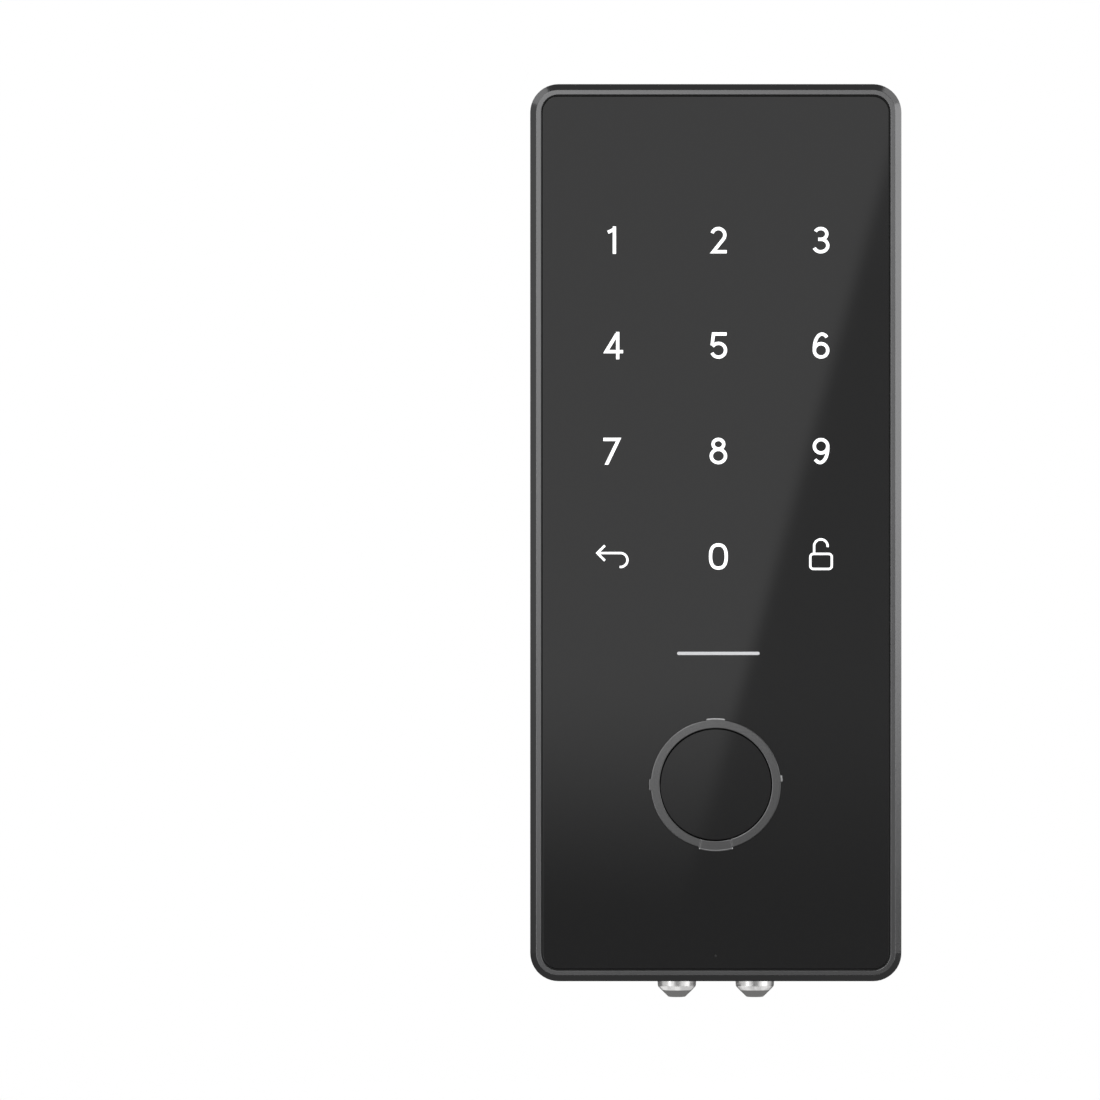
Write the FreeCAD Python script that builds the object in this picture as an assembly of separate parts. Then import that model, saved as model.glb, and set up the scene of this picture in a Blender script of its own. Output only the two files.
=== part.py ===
"""Keypad smart lock for a narrow door or gate stile: an outside keypad unit and an inside unit that
holds the batteries, the motor, the gear train and the deadbolt. Two bolts clamp them to the door.

Frame, in millimetres: the origin is the centre of the outside unit's back face, on the door.
+X points to the door's free edge, +Y goes through the door into the room, and +Z is up.
"""
import FreeCAD, Part

import math
import os

Vector = FreeCAD.Vector

# ---- driving dimensions -------------------------------------------------------------------
WIDTH, HEIGHT, CORNER = 72.0, 174.0, 5.5  # outside unit's outline
OUTER_DEPTH = 20.0                        # outside unit, gasket included
DOOR = 40.0                               # door thickness between the two units
INNER_WIDTH, INNER_HEIGHT, INNER_CORNER = 70.0, 172.0, 5.0
INNER_DEPTH = 40.0                        # inside unit, without the thumb turn
WALL = 2.0
RUNNING = 0.06                            # radial clearance of a shaft in its bearing
FIT = 0.15                                # gap between pieces that drop into each other

# outside unit, y from its front rim to the door
RIM_FACE = 0.95                           # flat front band of the frame
RIM_CHAMFER = 1.2                         # slope from that band to the sides
RIM = RIM_FACE + RIM_CHAMFER
RIM_SOFTENED = 0.12                       # radius on the front band's two edges
PANEL_GAP, PANEL_RECESS, PANEL_THICK = 0.2, 0.2, 1.8
PANEL_SOFTENED = 0.2                       # radius on the glass's front edge
LEDGE = 1.5                               # shelf behind the panel's edge
GASKET = 1.2
FRONT = -OUTER_DEPTH
PANEL_FRONT = FRONT + PANEL_RECESS
PANEL_BACK = PANEL_FRONT + PANEL_THICK
BACK_PLATE = 2.4
PLATE_FRONT = -GASKET - BACK_PLATE
BOARD = 1.6                               # every main circuit board's thickness
MASK_FRONT, MASK_THICK = PANEL_BACK + 0.1, 1.5
BOARD_FRONT = MASK_FRONT + MASK_THICK + 0.1
BOARD_BACK = BOARD_FRONT + BOARD
CAVITY_WIDTH = WIDTH - 2 * (RIM + LEDGE)
CAVITY_HEIGHT = HEIGHT - 2 * (RIM + LEDGE)

# keypad and fingerprint reader, seen from the front
KEY_PITCH_X, KEY_PITCH_Z = 20.2, 20.44
KEY_TOP_Z, KEY_SHIFT_X = 56.7, 0.2
READER_Z, RING_OUTER, RING_INNER, RING_PROUD = -48.85, 12.6, 10.9, 0.3
MICROPHONE_Z, MICROPHONE_R = -82.0, 0.25

# emergency supply terminals under the outside unit
TERMINAL_X, TERMINAL_Y, TERMINAL_R = 7.6, -10.0, 3.8
TERMINAL_BARREL, TERMINAL_BARREL_R = 1.4, 3.7  # the barrel narrows a little down to this depth
TERMINAL_WAIST, TERMINAL_WAIST_R = 2.15, 3.0  # where the upper slope turns into the tip's slope
TERMINAL_DROP, TERMINAL_TIP_R = 3.5, 1.6
TERMINAL_SHANK = 2.0

# what crosses the door
BOLT_Z = 60.0                             # the two through bolts stand at plus and minus this
BOLT_R, POST_R, POST_REACH = 2.5, 4.0, 14.0
CABLE_Z, CABLE_R = 25.0, 9.0

# inside unit, y from the door's inner face
PLATE = 1.5
ROOM_SIDE = DOOR + INNER_DEPTH
CHASSIS_START = DOOR + 0.3
CHASSIS_WALL = DOOR + 4.5
MECHANISM = CHASSIS_WALL + WALL           # the chassis floor that carries the mechanism
MAIN_BOARD_NEAR = MECHANISM + 4.0
SPLIT = DOOR + 22.0                       # where the cover meets the chassis
COVER_FACE = ROOM_SIDE - WALL
INNER_CLEAR_WIDTH, INNER_CLEAR_HEIGHT = INNER_WIDTH - 2 * WALL, INNER_HEIGHT - 2 * WALL

# deadbolt and its drive
TURN_Z = -30.0
MODULE, DRIVE_TEETH, PINION_TEETH = 1.0, 26, 12
FINE_MODULE, WHEEL_TEETH, MOTOR_TEETH = 0.8, 32, 12
PRESSURE = math.radians(20)
ADDENDUM, DEDENDUM, BACKLASH = 0.76, 1.0, 0.16
DRIVE_R = MODULE * DRIVE_TEETH / 2
RACK_LINE = TURN_Z + DRIVE_R
BOLT_BOTTOM, BOLT_TOP = -12.0, 14.0
BOLT_TAIL, BOLT_TIP = -26.0, 34.4
BOLT_NEAR, BOLT_FAR = MECHANISM + 1.5, MECHANISM + 13.5
GEAR_NEAR, GEAR_FAR = BOLT_NEAR + 3.0, BOLT_FAR - 3.0
WHEEL_NEAR, WHEEL_FAR = MECHANISM + 0.7, MECHANISM + 3.9
GEAR_PLATE_NEAR, GEAR_PLATE_THICK = GEAR_FAR + 0.6, 1.2
SHAFT_R, SHAFT_FLAT = 4.0, 3.3
PINION_DIRECTION = math.radians(210)      # from the thumb turn to the reduction gear
MOTOR_DIRECTION = math.radians(-50)       # from the reduction gear to the motor
TURN_AT = (0.0, TURN_Z)
PINION_REACH = MODULE * (DRIVE_TEETH + PINION_TEETH) / 2
MOTOR_REACH = FINE_MODULE * (WHEEL_TEETH + MOTOR_TEETH) / 2
REDUCTION_AT = (PINION_REACH * math.cos(PINION_DIRECTION),
                TURN_Z + PINION_REACH * math.sin(PINION_DIRECTION))
MOTOR_AT = (REDUCTION_AT[0] + MOTOR_REACH * math.cos(MOTOR_DIRECTION),
            REDUCTION_AT[1] + MOTOR_REACH * math.sin(MOTOR_DIRECTION))
AXLE_R = 1.5
MOTOR_R, GEARBOX_LENGTH, MOTOR_LENGTH = 12.2, 7.0, 8.0

# battery compartment: four size AA cells side by side
CELL_R, CELL_LENGTH, CELL_NUB_R, CELL_NUB = 7.25, 49.5, 2.7, 1.2
CELL_PITCH, CELL_BOTTOM = 14.6, 28.3
TRAY_HALF, TRAY_LOW, TRAY_HIGH = 30.3, 24.0, 82.0
TRAY_FLOOR, TRAY_WALL, TRAY_RIM = SPLIT - 1.0, 1.0, SPLIT + 11.0
CELL_Y = TRAY_FLOOR + 1.2 + CELL_R
HATCH_LOW, HATCH_SPLIT = 16.0, ROOM_SIDE - 6.0  # the battery cover starts at these z and y
HOOK_Z = (30.0, 70.0)                     # where the battery cover's hooks hold its rails
RAIL_NEAR, RAIL_IN = HATCH_SPLIT - 1.4, 31.4
LEDGE_LOW, LEDGE_NEAR = 17.5, SPLIT + 8.0
SETUP_AT, SETUP_R = (-20.0, 20.7), 1.9

# thumb turn and inside button
KNOB_R, KNOB_BASE, KNOB_REACH = 17.0, 3.6, 20.0
LEVER_WIDTH, LEVER_LENGTH = 11.0, 34.0
HUB_R = 8.0
BUTTON_AT, BUTTON_R, BUTTON_TRAVEL = (0.0, -72.5), 5.4, 1.0
BUTTON_BOARD_FACE = COVER_FACE - 3.0 - BUTTON_TRAVEL - 3.2

# screw positions, as (x, z)
OUTER_SCREWS = [(x, z) for x in (-29.4, 29.4) for z in (-80.4, 0.0, 80.4)]
BOSS_R = 2.9                              # screw bosses, joined to the frame's walls
PLATE_SCREWS = [(x, z) for x in (-24.0, 24.0) for z in (-72.0, 72.0)]
CHASSIS_SCREWS = [(x, z) for x in (-29.0, 29.0) for z in (-79.0, 79.0)]
CASE_SCREWS = [(x, z) for x in (-30.6, 30.6) for z in (-70.0, 20.0)]
BOARD_SCREWS = [(x, z) for x in (-26.0, 26.0) for z in (30.0, 72.0)]
GEAR_PLATE_SCREWS = [(-29.0, -22.0), (20.0, -30.0), (16.0, -52.0), (-26.0, -62.0)]
GUIDE_SCREWS = [(-29.6, -8.0), (-29.6, 10.0), (8.0, 18.6), (22.0, 18.6)]


# ---- shapes that repeat -------------------------------------------------------------------
def box(x, y, z):
    """A block between two values on each axis, each given as a pair."""
    return Part.makeBox(x[1] - x[0], y[1] - y[0], z[1] - z[0], Vector(x[0], y[0], z[0]))


def disc(radius, at, y0, y1):
    """A cylinder along Y at (x, z)."""
    return Part.makeCylinder(radius, y1 - y0, Vector(at[0], y0, at[1]), Vector(0, 1, 0))


def ring(outer, inner, at, y0, y1):
    return disc(outer, at, y0, y1).cut(disc(inner, at, y0, y1))


def slab(width, height, corner, y0, y1, x=0.0, z=0.0):
    """A plate with round corners, drawn in XZ and extruded along Y."""
    left, right, low, high = x - width / 2, x + width / 2, z - height / 2, z + height / 2
    block = box((left, right), (y0, y1), (low, high))
    upright = [e for e in block.Edges if abs(e.Vertexes[0].Y - e.Vertexes[1].Y) > 1e-6]
    return block.makeFillet(corner, upright)


def edges_at(shape, y):
    """The edges that lie wholly in the plane at y."""
    return [e for e in shape.Edges if all(abs(v.Y - y) < 1e-6 for v in e.Vertexes)]


def fused(shapes):
    return shapes[0].multiFuse(shapes[1:]).removeSplitter()


def cut(shape, tools):
    return shape.cut(tools[0] if len(tools) == 1 else Part.makeCompound(tools))


def sector(radius, at, middle, half, y0, y1):
    """A pie slice along Y, centred on a direction in degrees from +X towards +Z."""
    centre = Vector(at[0], y0, at[1])
    rim = [centre + Vector(radius * math.cos(a), 0, radius * math.sin(a))
           for a in map(math.radians, (middle - half, middle, middle + half))]
    sides = [Part.LineSegment(centre, rim[0]), Part.Arc(*rim), Part.LineSegment(rim[2], centre)]
    return Part.Face(Part.Wire([s.toShape() for s in sides])).extrude(Vector(0, y1 - y0, 0))


def cross_head(shape, at, y, side, size):
    """Cuts a cross recess into a screw head whose face is at y; side is +1 where it faces the room."""
    depth = sorted((y, y - side * size * 0.45))
    arms = [box((at[0] - a, at[0] + a), depth, (at[1] - b, at[1] + b))
            for a, b in ((size * 0.62, size * 0.13), (size * 0.13, size * 0.62))]
    return cut(shape, arms)


def screws(places, shank_r, head_r, seat, tip, head):
    """Identical screws along Y. The head sits on the plane at seat, the shank runs from there to tip."""
    side = 1 if seat > tip else -1
    made = []
    for at in places:
        top = disc(head_r, at, *sorted((seat, seat + side * head)))
        crown = [e for e in edges_at(top, seat + side * head)]
        top = top.makeFillet(head * 0.3, crown)
        top = cross_head(top, at, seat + side * head, side, head_r)
        made.append(top.fuse(disc(shank_r, at, *sorted((seat, tip)))).removeSplitter())
    return Part.makeCompound(made)


def key_places():
    """Centres of the twelve keys, row by row from the top."""
    return [(KEY_SHIFT_X + column * KEY_PITCH_X, KEY_TOP_Z - row * KEY_PITCH_Z)
            for row in range(4) for column in (-1, 0, 1)]


def cell_places():
    return [(i - 1.5) * CELL_PITCH for i in range(4)]


# ---- gears ---------------------------------------------------------------------------------
def involute(angle):
    return math.tan(angle) - angle


def gear(teeth, module, at, y0, y1, phase):
    """A spur gear along Y. One tooth is centred at the angle phase, from +X towards +Z."""
    pitch_r = teeth * module / 2
    base_r = pitch_r * math.cos(PRESSURE)
    tip_r, root_r = pitch_r + ADDENDUM * module, pitch_r - DEDENDUM * module
    half = (math.pi * module / 2 - BACKLASH / 2) / (2 * pitch_r) + involute(PRESSURE)
    start_r = max(base_r, root_r)
    radii = [start_r + (tip_r - start_r) * i / 4 for i in range(5)]
    spread = [half - involute(math.acos(min(1.0, base_r / r))) for r in radii]

    def point(r, angle):
        return Vector(at[0] + r * math.cos(angle), y0, at[1] + r * math.sin(angle))

    edges = []
    for tooth in range(teeth):
        centre = phase + 2 * math.pi * tooth / teeth
        following = centre + 2 * math.pi / teeth
        low, high = centre - spread[0], centre + spread[0]
        climb, fall = Part.BSplineCurve(), Part.BSplineCurve()
        climb.interpolate([point(r, centre - s) for r, s in zip(radii, spread)])
        fall.interpolate([point(r, centre + s) for r, s in zip(radii[::-1], spread[::-1])])
        tip = Part.Arc(point(tip_r, centre - spread[-1]), point(tip_r, centre),
                       point(tip_r, centre + spread[-1]))
        root = Part.Arc(point(root_r, high), point(root_r, (high + following - spread[0]) / 2),
                        point(root_r, following - spread[0]))
        if start_r > root_r:
            edges.append(Part.LineSegment(point(root_r, low), point(start_r, low)).toShape())
        edges += [climb.toShape(), tip.toShape(), fall.toShape()]
        if start_r > root_r:
            edges.append(Part.LineSegment(point(start_r, high), point(root_r, high)).toShape())
        edges.append(root.toShape())
    return Part.Face(Part.Wire(edges)).extrude(Vector(0, y1 - y0, 0))


def meshed_phase(phase, teeth, direction, other_teeth):
    """The phase of a second gear, in the given direction from the first, that puts tooth into space."""
    return direction + math.pi - math.pi / other_teeth + (direction - phase) * teeth / other_teeth


DRIVE_PHASE = math.pi / 2
PINION_PHASE = meshed_phase(DRIVE_PHASE, DRIVE_TEETH, PINION_DIRECTION, PINION_TEETH)
WHEEL_PHASE = 0.0
MOTOR_PHASE = meshed_phase(WHEEL_PHASE, WHEEL_TEETH, MOTOR_DIRECTION, MOTOR_TEETH)


# ---- outside unit --------------------------------------------------------------------------
def outer_frame():
    """Metal frame with a flat front band, sloped edge, panel seat and six screw bosses."""
    body = slab(WIDTH, HEIGHT, CORNER, FRONT, -GASKET)
    body = body.makeChamfer(RIM_CHAMFER, edges_at(body, FRONT))
    seat = slab(WIDTH - 2 * RIM, HEIGHT - 2 * RIM, CORNER - RIM, FRONT - 1, PANEL_BACK)
    cavity = slab(CAVITY_WIDTH, CAVITY_HEIGHT, 2.5, PANEL_BACK, 0)
    rebate = slab(WIDTH - 2 * RIM, HEIGHT - 2 * RIM, CORNER - RIM, PLATE_FRONT, 0)
    body = cut(body, [seat, cavity, rebate])
    body = body.makeFillet(RIM_SOFTENED, edges_at(body, FRONT))
    bosses = []
    for x, z in OUTER_SCREWS:
        side, end = math.copysign(WIDTH / 2, x), math.copysign(HEIGHT / 2, z)
        bosses.append(disc(BOSS_R, (x, z), -12.0, PLATE_FRONT))
        bosses.append(box((min(x, side), max(x, side)), (-12.0, PLATE_FRONT), (z - BOSS_R, z + BOSS_R)))
        if z:
            bosses.append(box((x - BOSS_R, x + BOSS_R), (-12.0, PLATE_FRONT), (min(z, end), max(z, end))))
    inside = slab(WIDTH - 2, HEIGHT - 2, CORNER, FRONT, 0)
    body = fused([body] + [b.common(inside) for b in bosses])
    holes = [disc(1.05, at, -11.0, 0) for at in OUTER_SCREWS]
    holes += [Part.makeCylinder(TERMINAL_R + 0.8, 10, Vector(x, TERMINAL_Y, -HEIGHT / 2 - 1))
              for x in (-TERMINAL_X, TERMINAL_X)]
    return cut(body, holes)


def panel_glass():
    """Dark touch glass with a hole for the reader's ring and a pinhole for the microphone."""
    width, height = WIDTH - 2 * (RIM + PANEL_GAP), HEIGHT - 2 * (RIM + PANEL_GAP)
    glass = slab(width, height, CORNER - RIM - PANEL_GAP, PANEL_FRONT, PANEL_BACK)
    glass = glass.makeFillet(PANEL_SOFTENED, edges_at(glass, PANEL_FRONT))
    holes = [disc(RING_OUTER - 0.55, (0, READER_Z), FRONT, 0),
             disc(MICROPHONE_R, (0, MICROPHONE_Z), FRONT, 0)]
    return cut(glass, holes)


def inside_sheet(y0, y1):
    """A sheet that fills the outside unit's cavity, with the reader's hole."""
    sheet = slab(CAVITY_WIDTH - 1, CAVITY_HEIGHT - 1, 2.0, y0, y1)
    return cut(sheet, [disc(RING_OUTER - 0.3, (0, READER_Z), y0 - 1, y1 + 1)])


def light_mask():
    """Black sheet with a well behind each key, so that a key's light stays its own."""
    sheet = inside_sheet(MASK_FRONT, MASK_FRONT + MASK_THICK)
    return cut(sheet, [disc(6.0, at, MASK_FRONT - 1, 0) for at in key_places()])


def touch_springs():
    """Contact rings that carry each key's touch signal from the glass to the board."""
    return Part.makeCompound([ring(5.4, 4.9, at, MASK_FRONT, BOARD_FRONT) for at in key_places()])


def light_diffusers():
    """Milky discs that spread each lamp's light behind its digit."""
    return Part.makeCompound([disc(4.7, at, MASK_FRONT, MASK_FRONT + 0.7) for at in key_places()])


def key_leds():
    return Part.makeCompound([box((x - 0.8, x + 0.8), (BOARD_FRONT - 0.7, BOARD_FRONT), (z - 0.4, z + 0.4))
                              for x, z in key_places()])


def touch_board():
    return inside_sheet(BOARD_FRONT, BOARD_BACK)


def board_components():
    """Controller, radio can and small parts on the back of the touch board."""
    layout = [((0, 34), (14, 14, 1.8)), ((14, 62), (12, 18, 2.4)), ((-21, 40), (7, 5, 1.2)),
              ((21, 40), (7, 5, 1.2)), ((-21, 62), (5, 8, 1.5)), ((20, -18), (6, 6, 1.6)),
              ((18, -72), (5, 4, 2.0)), ((-18, -72), (5, 4, 2.0))]
    return Part.makeCompound([box((x - w / 2, x + w / 2), (BOARD_BACK, BOARD_BACK + d),
                                  (z - h / 2, z + h / 2))
                              for (x, z), (w, h, d) in layout])


def connector(at, width, y0, y1):
    """An open socket for a flat plug, with its row of contacts. Its mouth faces the side y1."""
    x, z = at
    shell = box((x - width / 2, x + width / 2), (y0, y1), (z - 2.2, z + 2.2))
    mouth = box((x - width / 2 + 0.6, x + width / 2 - 0.6), (y0 + 1.0, y1 + 1), (z - 1.6, z + 1.6))
    pins = [box((x - width / 2 + 1.5 + i * 1.5 - 0.25, x - width / 2 + 1.5 + i * 1.5 + 0.25),
                (y0 + 0.5, y1 - 1.0), (z - 0.25, z + 0.25)) for i in range(int((width - 2) / 1.5))]
    return fused([cut(shell, [mouth])] + pins)


def board_connector():
    return connector((0, 12), 12.0, BOARD_BACK, BOARD_BACK + 5.0)


def buzzer():
    """Round sounder with its sound hole."""
    can = disc(6.0, (-17, -14), BOARD_BACK, BOARD_BACK + 3.4)
    return cut(can, [disc(1.0, (-17, -14), BOARD_BACK + 2.4, BOARD_BACK + 5)])


def fingerprint_ring():
    """Metal trim ring: a flange on the glass, four small tabs round it, and a sleeve through the glass."""
    at, face = (0, READER_Z), PANEL_FRONT - RING_PROUD
    flange = ring(RING_OUTER, RING_INNER, at, face, PANEL_FRONT)
    sleeve = ring(RING_OUTER - 0.6, RING_INNER, at, PANEL_FRONT, BOARD_BACK + 1.2)
    collar = ring(RING_OUTER + 0.35, RING_OUTER - 0.5, at, face, PANEL_FRONT)
    tabs = [collar.common(sector(RING_OUTER + 1, at, middle, half, face, PANEL_FRONT))
            for middle, half in ((90, 8), (5.5, 3), (180, 5), (270, 15))]
    return fused([flange, sleeve] + tabs)


def fingerprint_sensor():
    """Touch surface of the reader, level with the glass."""
    face = disc(RING_INNER - 0.1, (0, READER_Z), PANEL_FRONT + 0.05, PANEL_FRONT + 1.1)
    return face.makeFillet(0.15, edges_at(face, PANEL_FRONT + 0.05))


def sensor_module():
    """Reader's chip housing with its socket behind."""
    at = (0, READER_Z)
    return fused([disc(RING_INNER - 0.2, at, PANEL_FRONT + 1.1, BOARD_BACK + 0.8),
                  box((-4, 4), (BOARD_BACK + 0.8, BOARD_BACK + 2.2), (READER_Z - 2, READER_Z + 2))])


def sensor_retainer():
    """Clip ring that holds the trim ring's sleeve behind the board."""
    return ring(15.0, RING_OUTER - 0.55, (0, READER_Z), BOARD_BACK + 0.05, BOARD_BACK + 1.2)


def outer_back_plate():
    """Cast plate that closes the outside unit, with the two threaded posts and the cable hole."""
    width, height = WIDTH - 2 * RIM - 2 * FIT, HEIGHT - 2 * RIM - 2 * FIT
    plate = slab(width, height, CORNER - RIM - FIT, PLATE_FRONT, -GASKET)
    pieces = [plate]
    for z in (-BOLT_Z, BOLT_Z):
        pieces.append(disc(5.0, (0, z), -12.0, PLATE_FRONT))
        pieces.append(disc(POST_R, (0, z), -GASKET, POST_REACH))
    pieces += [disc(2.5, (x, z), BOARD_BACK + 0.05, PLATE_FRONT) for x in (-26, 26) for z in (-60, 20)]
    pieces += [box((-26, 26), (PLATE_FRONT - 1.5, PLATE_FRONT), (z - 0.7, z + 0.7)) for z in (-30, 44)]
    holes = [disc(BOLT_R + 0.05, (0, z), -11.0, POST_REACH + 1) for z in (-BOLT_Z, BOLT_Z)]
    holes += [disc(1.3, at, PLATE_FRONT - 1, 0) for at in OUTER_SCREWS]
    holes += [disc(2.5, at, -GASKET - 1.5, 0) for at in OUTER_SCREWS]
    holes.append(disc(CABLE_R, (0, CABLE_Z), PLATE_FRONT - 1, 0))
    return cut(fused(pieces), holes)


def outer_case_screws():
    return screws(OUTER_SCREWS, 1.0, 2.2, -GASKET - 1.5, -10.5, 1.3)


def cable_grommet():
    """Soft ring that lines the cable hole."""
    at = (0, CABLE_Z)
    lip = ring(CABLE_R + 1.0, CABLE_R - 1.5, at, PLATE_FRONT - 1.0, PLATE_FRONT)
    return fused([ring(CABLE_R, CABLE_R - 1.5, at, PLATE_FRONT, 0.0), lip])


def door_gasket():
    """Rubber sheet between the outside unit and the door."""
    sheet = slab(WIDTH - 1.6, HEIGHT - 1.6, CORNER - 0.8, -GASKET, 0)
    holes = [disc(POST_R + 0.3, (0, z), -5, 5) for z in (-BOLT_Z, BOLT_Z)]
    return cut(sheet, holes + [disc(CABLE_R + 0.05, (0, CABLE_Z), -5, 5)])


def terminal_block():
    """Insulating block that carries both terminals."""
    low = -CAVITY_HEIGHT / 2
    block = box((-13.5, 13.5), (BOARD_BACK + 0.3, -5.5), (low, low + 7))
    return cut(block, [Part.makeCylinder(TERMINAL_SHANK + 0.05, 12, Vector(x, TERMINAL_Y, low - 1))
                       for x in (-TERMINAL_X, TERMINAL_X)])


def terminal_bushings():
    """Plastic sleeves that keep the terminals clear of the metal frame."""
    low, high = -HEIGHT / 2, -CAVITY_HEIGHT / 2
    made = []
    for x in (-TERMINAL_X, TERMINAL_X):
        outer = Part.makeCylinder(TERMINAL_R + 0.75, high - low, Vector(x, TERMINAL_Y, low))
        made.append(outer.cut(Part.makeCylinder(TERMINAL_R + 0.05, high - low, Vector(x, TERMINAL_Y, low))))
    return Part.makeCompound(made)


def power_terminal(x):
    """Turned contact for an emergency battery: shank, collar, narrowing barrel and a tip with two slopes."""
    edge, cavity = -HEIGHT / 2, -CAVITY_HEIGHT / 2
    shank_top = cavity + 6.5
    outline = [(0, shank_top), (TERMINAL_SHANK, shank_top), (TERMINAL_SHANK, cavity), (TERMINAL_R, cavity),
               (TERMINAL_R, edge), (TERMINAL_BARREL_R, edge - TERMINAL_BARREL),
               (TERMINAL_WAIST_R, edge - TERMINAL_WAIST),
               (TERMINAL_TIP_R, edge - TERMINAL_DROP), (0, edge - TERMINAL_DROP), (0, shank_top)]
    wire = Part.makePolygon([Vector(r, 0, z) for r, z in outline])
    turned = Part.Face(wire).revolve(Vector(0, 0, 0), Vector(0, 0, 1), 360)
    solid = Part.Solid(Part.Shell(turned.Faces))
    solid.translate(Vector(x, TERMINAL_Y, 0))
    return solid


# ---- through the door ----------------------------------------------------------------------
def mounting_plate():
    """Steel plate on the door's inner face. The through bolts pull it towards the outside unit."""
    plate = slab(64, 166, 3.5, DOOR, DOOR + PLATE)
    holes = [disc(BOLT_R + 0.3, (0, z), DOOR - 1, DOOR + 5) for z in (-BOLT_Z, BOLT_Z)]
    holes += [disc(2.25, at, DOOR - 1, DOOR + 5) for at in PLATE_SCREWS]
    holes += [disc(1.55, at, DOOR - 1, DOOR + 5) for at in CHASSIS_SCREWS]
    holes.append(disc(CABLE_R, (0, CABLE_Z), DOOR - 1, DOOR + 5))
    return cut(plate, holes)


def through_bolts():
    return screws([(0, -BOLT_Z), (0, BOLT_Z)], BOLT_R, 4.6, DOOR + PLATE, -10.0, 2.7)


# ---- inside unit ---------------------------------------------------------------------------
def inner_chassis():
    """Cast tray: a floor with walls on both sides, the bolt's channel, bearings and screw posts."""
    body = slab(INNER_WIDTH, INNER_HEIGHT, INNER_CORNER, CHASSIS_START, SPLIT)
    pocket = slab(INNER_CLEAR_WIDTH, INNER_CLEAR_HEIGHT, 3.5, CHASSIS_START, CHASSIS_WALL)
    well = slab(INNER_CLEAR_WIDTH, INNER_CLEAR_HEIGHT, 3.5, MECHANISM, SPLIT)
    body = cut(body, [pocket, well])
    channel = [box((-28, 33.2), (MECHANISM, BOLT_FAR + 0.1), (BOLT_TOP + 0.15, BOLT_TOP + 2.2)),
               box((-28, 33.2), (MECHANISM, GEAR_NEAR - 0.4), (BOLT_BOTTOM - 2.2, BOLT_BOTTOM - 0.15)),
               box((26, 33.2), (MECHANISM, BOLT_FAR + 0.1), (BOLT_BOTTOM - 2.2, BOLT_BOTTOM - 0.15)),
               box((-20, -16), (MECHANISM, BOLT_NEAR - 0.1), (BOLT_BOTTOM, BOLT_TOP)),
               box((18, 22), (MECHANISM, BOLT_NEAR - 0.1), (BOLT_BOTTOM, BOLT_TOP))]
    posts = [disc(2.5, at, MECHANISM, GEAR_PLATE_NEAR) for at in GEAR_PLATE_SCREWS]
    posts += [disc(2.2, at, MECHANISM, BOLT_FAR + 0.3) for at in GUIDE_SCREWS]
    posts += [disc(2.5, at, MECHANISM, MAIN_BOARD_NEAR) for at in BOARD_SCREWS]
    posts += [disc(2.7, at, MECHANISM, SPLIT) for at in CASE_SCREWS]
    bearings = [disc(7.0, TURN_AT, MECHANISM, MECHANISM + 0.4),
                disc(3.0, MOTOR_AT, MECHANISM, MECHANISM + 0.3)]
    outline = slab(INNER_WIDTH, INNER_HEIGHT, INNER_CORNER, CHASSIS_START, SPLIT)
    body = fused([body] + [p.common(outline) for p in channel + posts + bearings])
    holes = [disc(SHAFT_R + RUNNING, TURN_AT, DOOR, MECHANISM + 1)]
    holes.append(disc(AXLE_R, REDUCTION_AT, CHASSIS_WALL + 0.1, SPLIT))
    holes += [disc(1.25, at, CHASSIS_WALL + 1, SPLIT)
              for at in GEAR_PLATE_SCREWS + GUIDE_SCREWS + BOARD_SCREWS]
    holes += [disc(1.6, at, DOOR, SPLIT + 1) for at in CHASSIS_SCREWS + CASE_SCREWS]
    holes.append(disc(CABLE_R, (0, CABLE_Z), DOOR, MECHANISM + 1))
    window = box((32.0, 36.0), (BOLT_NEAR - 1.1, BOLT_FAR + 1.1), (BOLT_BOTTOM - 1.3, BOLT_TOP + 1.3))
    return cut(body, holes + [window])


def bolt_bush():
    """Nylon frame in the side wall that the deadbolt slides through."""
    outer = box((32.0, INNER_WIDTH / 2), (BOLT_NEAR - 1.1, BOLT_FAR + 1.1),
                (BOLT_BOTTOM - 1.3, BOLT_TOP + 1.3))
    gap = 0.12
    way = box((30, 38), (BOLT_NEAR - gap, BOLT_FAR + gap), (BOLT_BOTTOM - gap, BOLT_TOP + gap))
    return cut(outer, [way])


def deadbolt():
    """Steel bolt bar with a softened nose."""
    bar = box((BOLT_TAIL, BOLT_TIP), (BOLT_NEAR, BOLT_FAR), (BOLT_BOTTOM, BOLT_TOP))
    nose = [e for e in bar.Edges if all(abs(v.X - BOLT_TIP) < 1e-6 for v in e.Vertexes)]
    return bar.makeFillet(1.0, nose)


def bolt_rack():
    """Toothed strip under the deadbolt. A space is centred over the thumb turn at rest."""
    pitch = math.pi * MODULE
    tip, root = RACK_LINE - ADDENDUM * MODULE, RACK_LINE + DEDENDUM * MODULE
    half = pitch / 4 - BACKLASH / 4
    lean = math.tan(PRESSURE)
    tip_half, root_half = half - ADDENDUM * MODULE * lean, half + DEDENDUM * MODULE * lean
    start, end = BOLT_TAIL, BOLT_TAIL + 10 * pitch
    first = math.ceil((start + root_half) / pitch - 0.5)
    last = math.floor((end - root_half) / pitch - 0.5)
    outline = [(start, BOLT_BOTTOM), (start, root)]
    for i in range(first, last + 1):
        centre = (i + 0.5) * pitch
        outline += [(centre - root_half, root), (centre - tip_half, tip)]
        outline += [(centre + tip_half, tip), (centre + root_half, root)]
    outline += [(end, root), (end, BOLT_BOTTOM), (start, BOLT_BOTTOM)]
    wire = Part.makePolygon([Vector(x, GEAR_NEAR, z) for x, z in outline])
    return Part.Face(wire).extrude(Vector(0, GEAR_FAR - GEAR_NEAR, 0))


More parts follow.
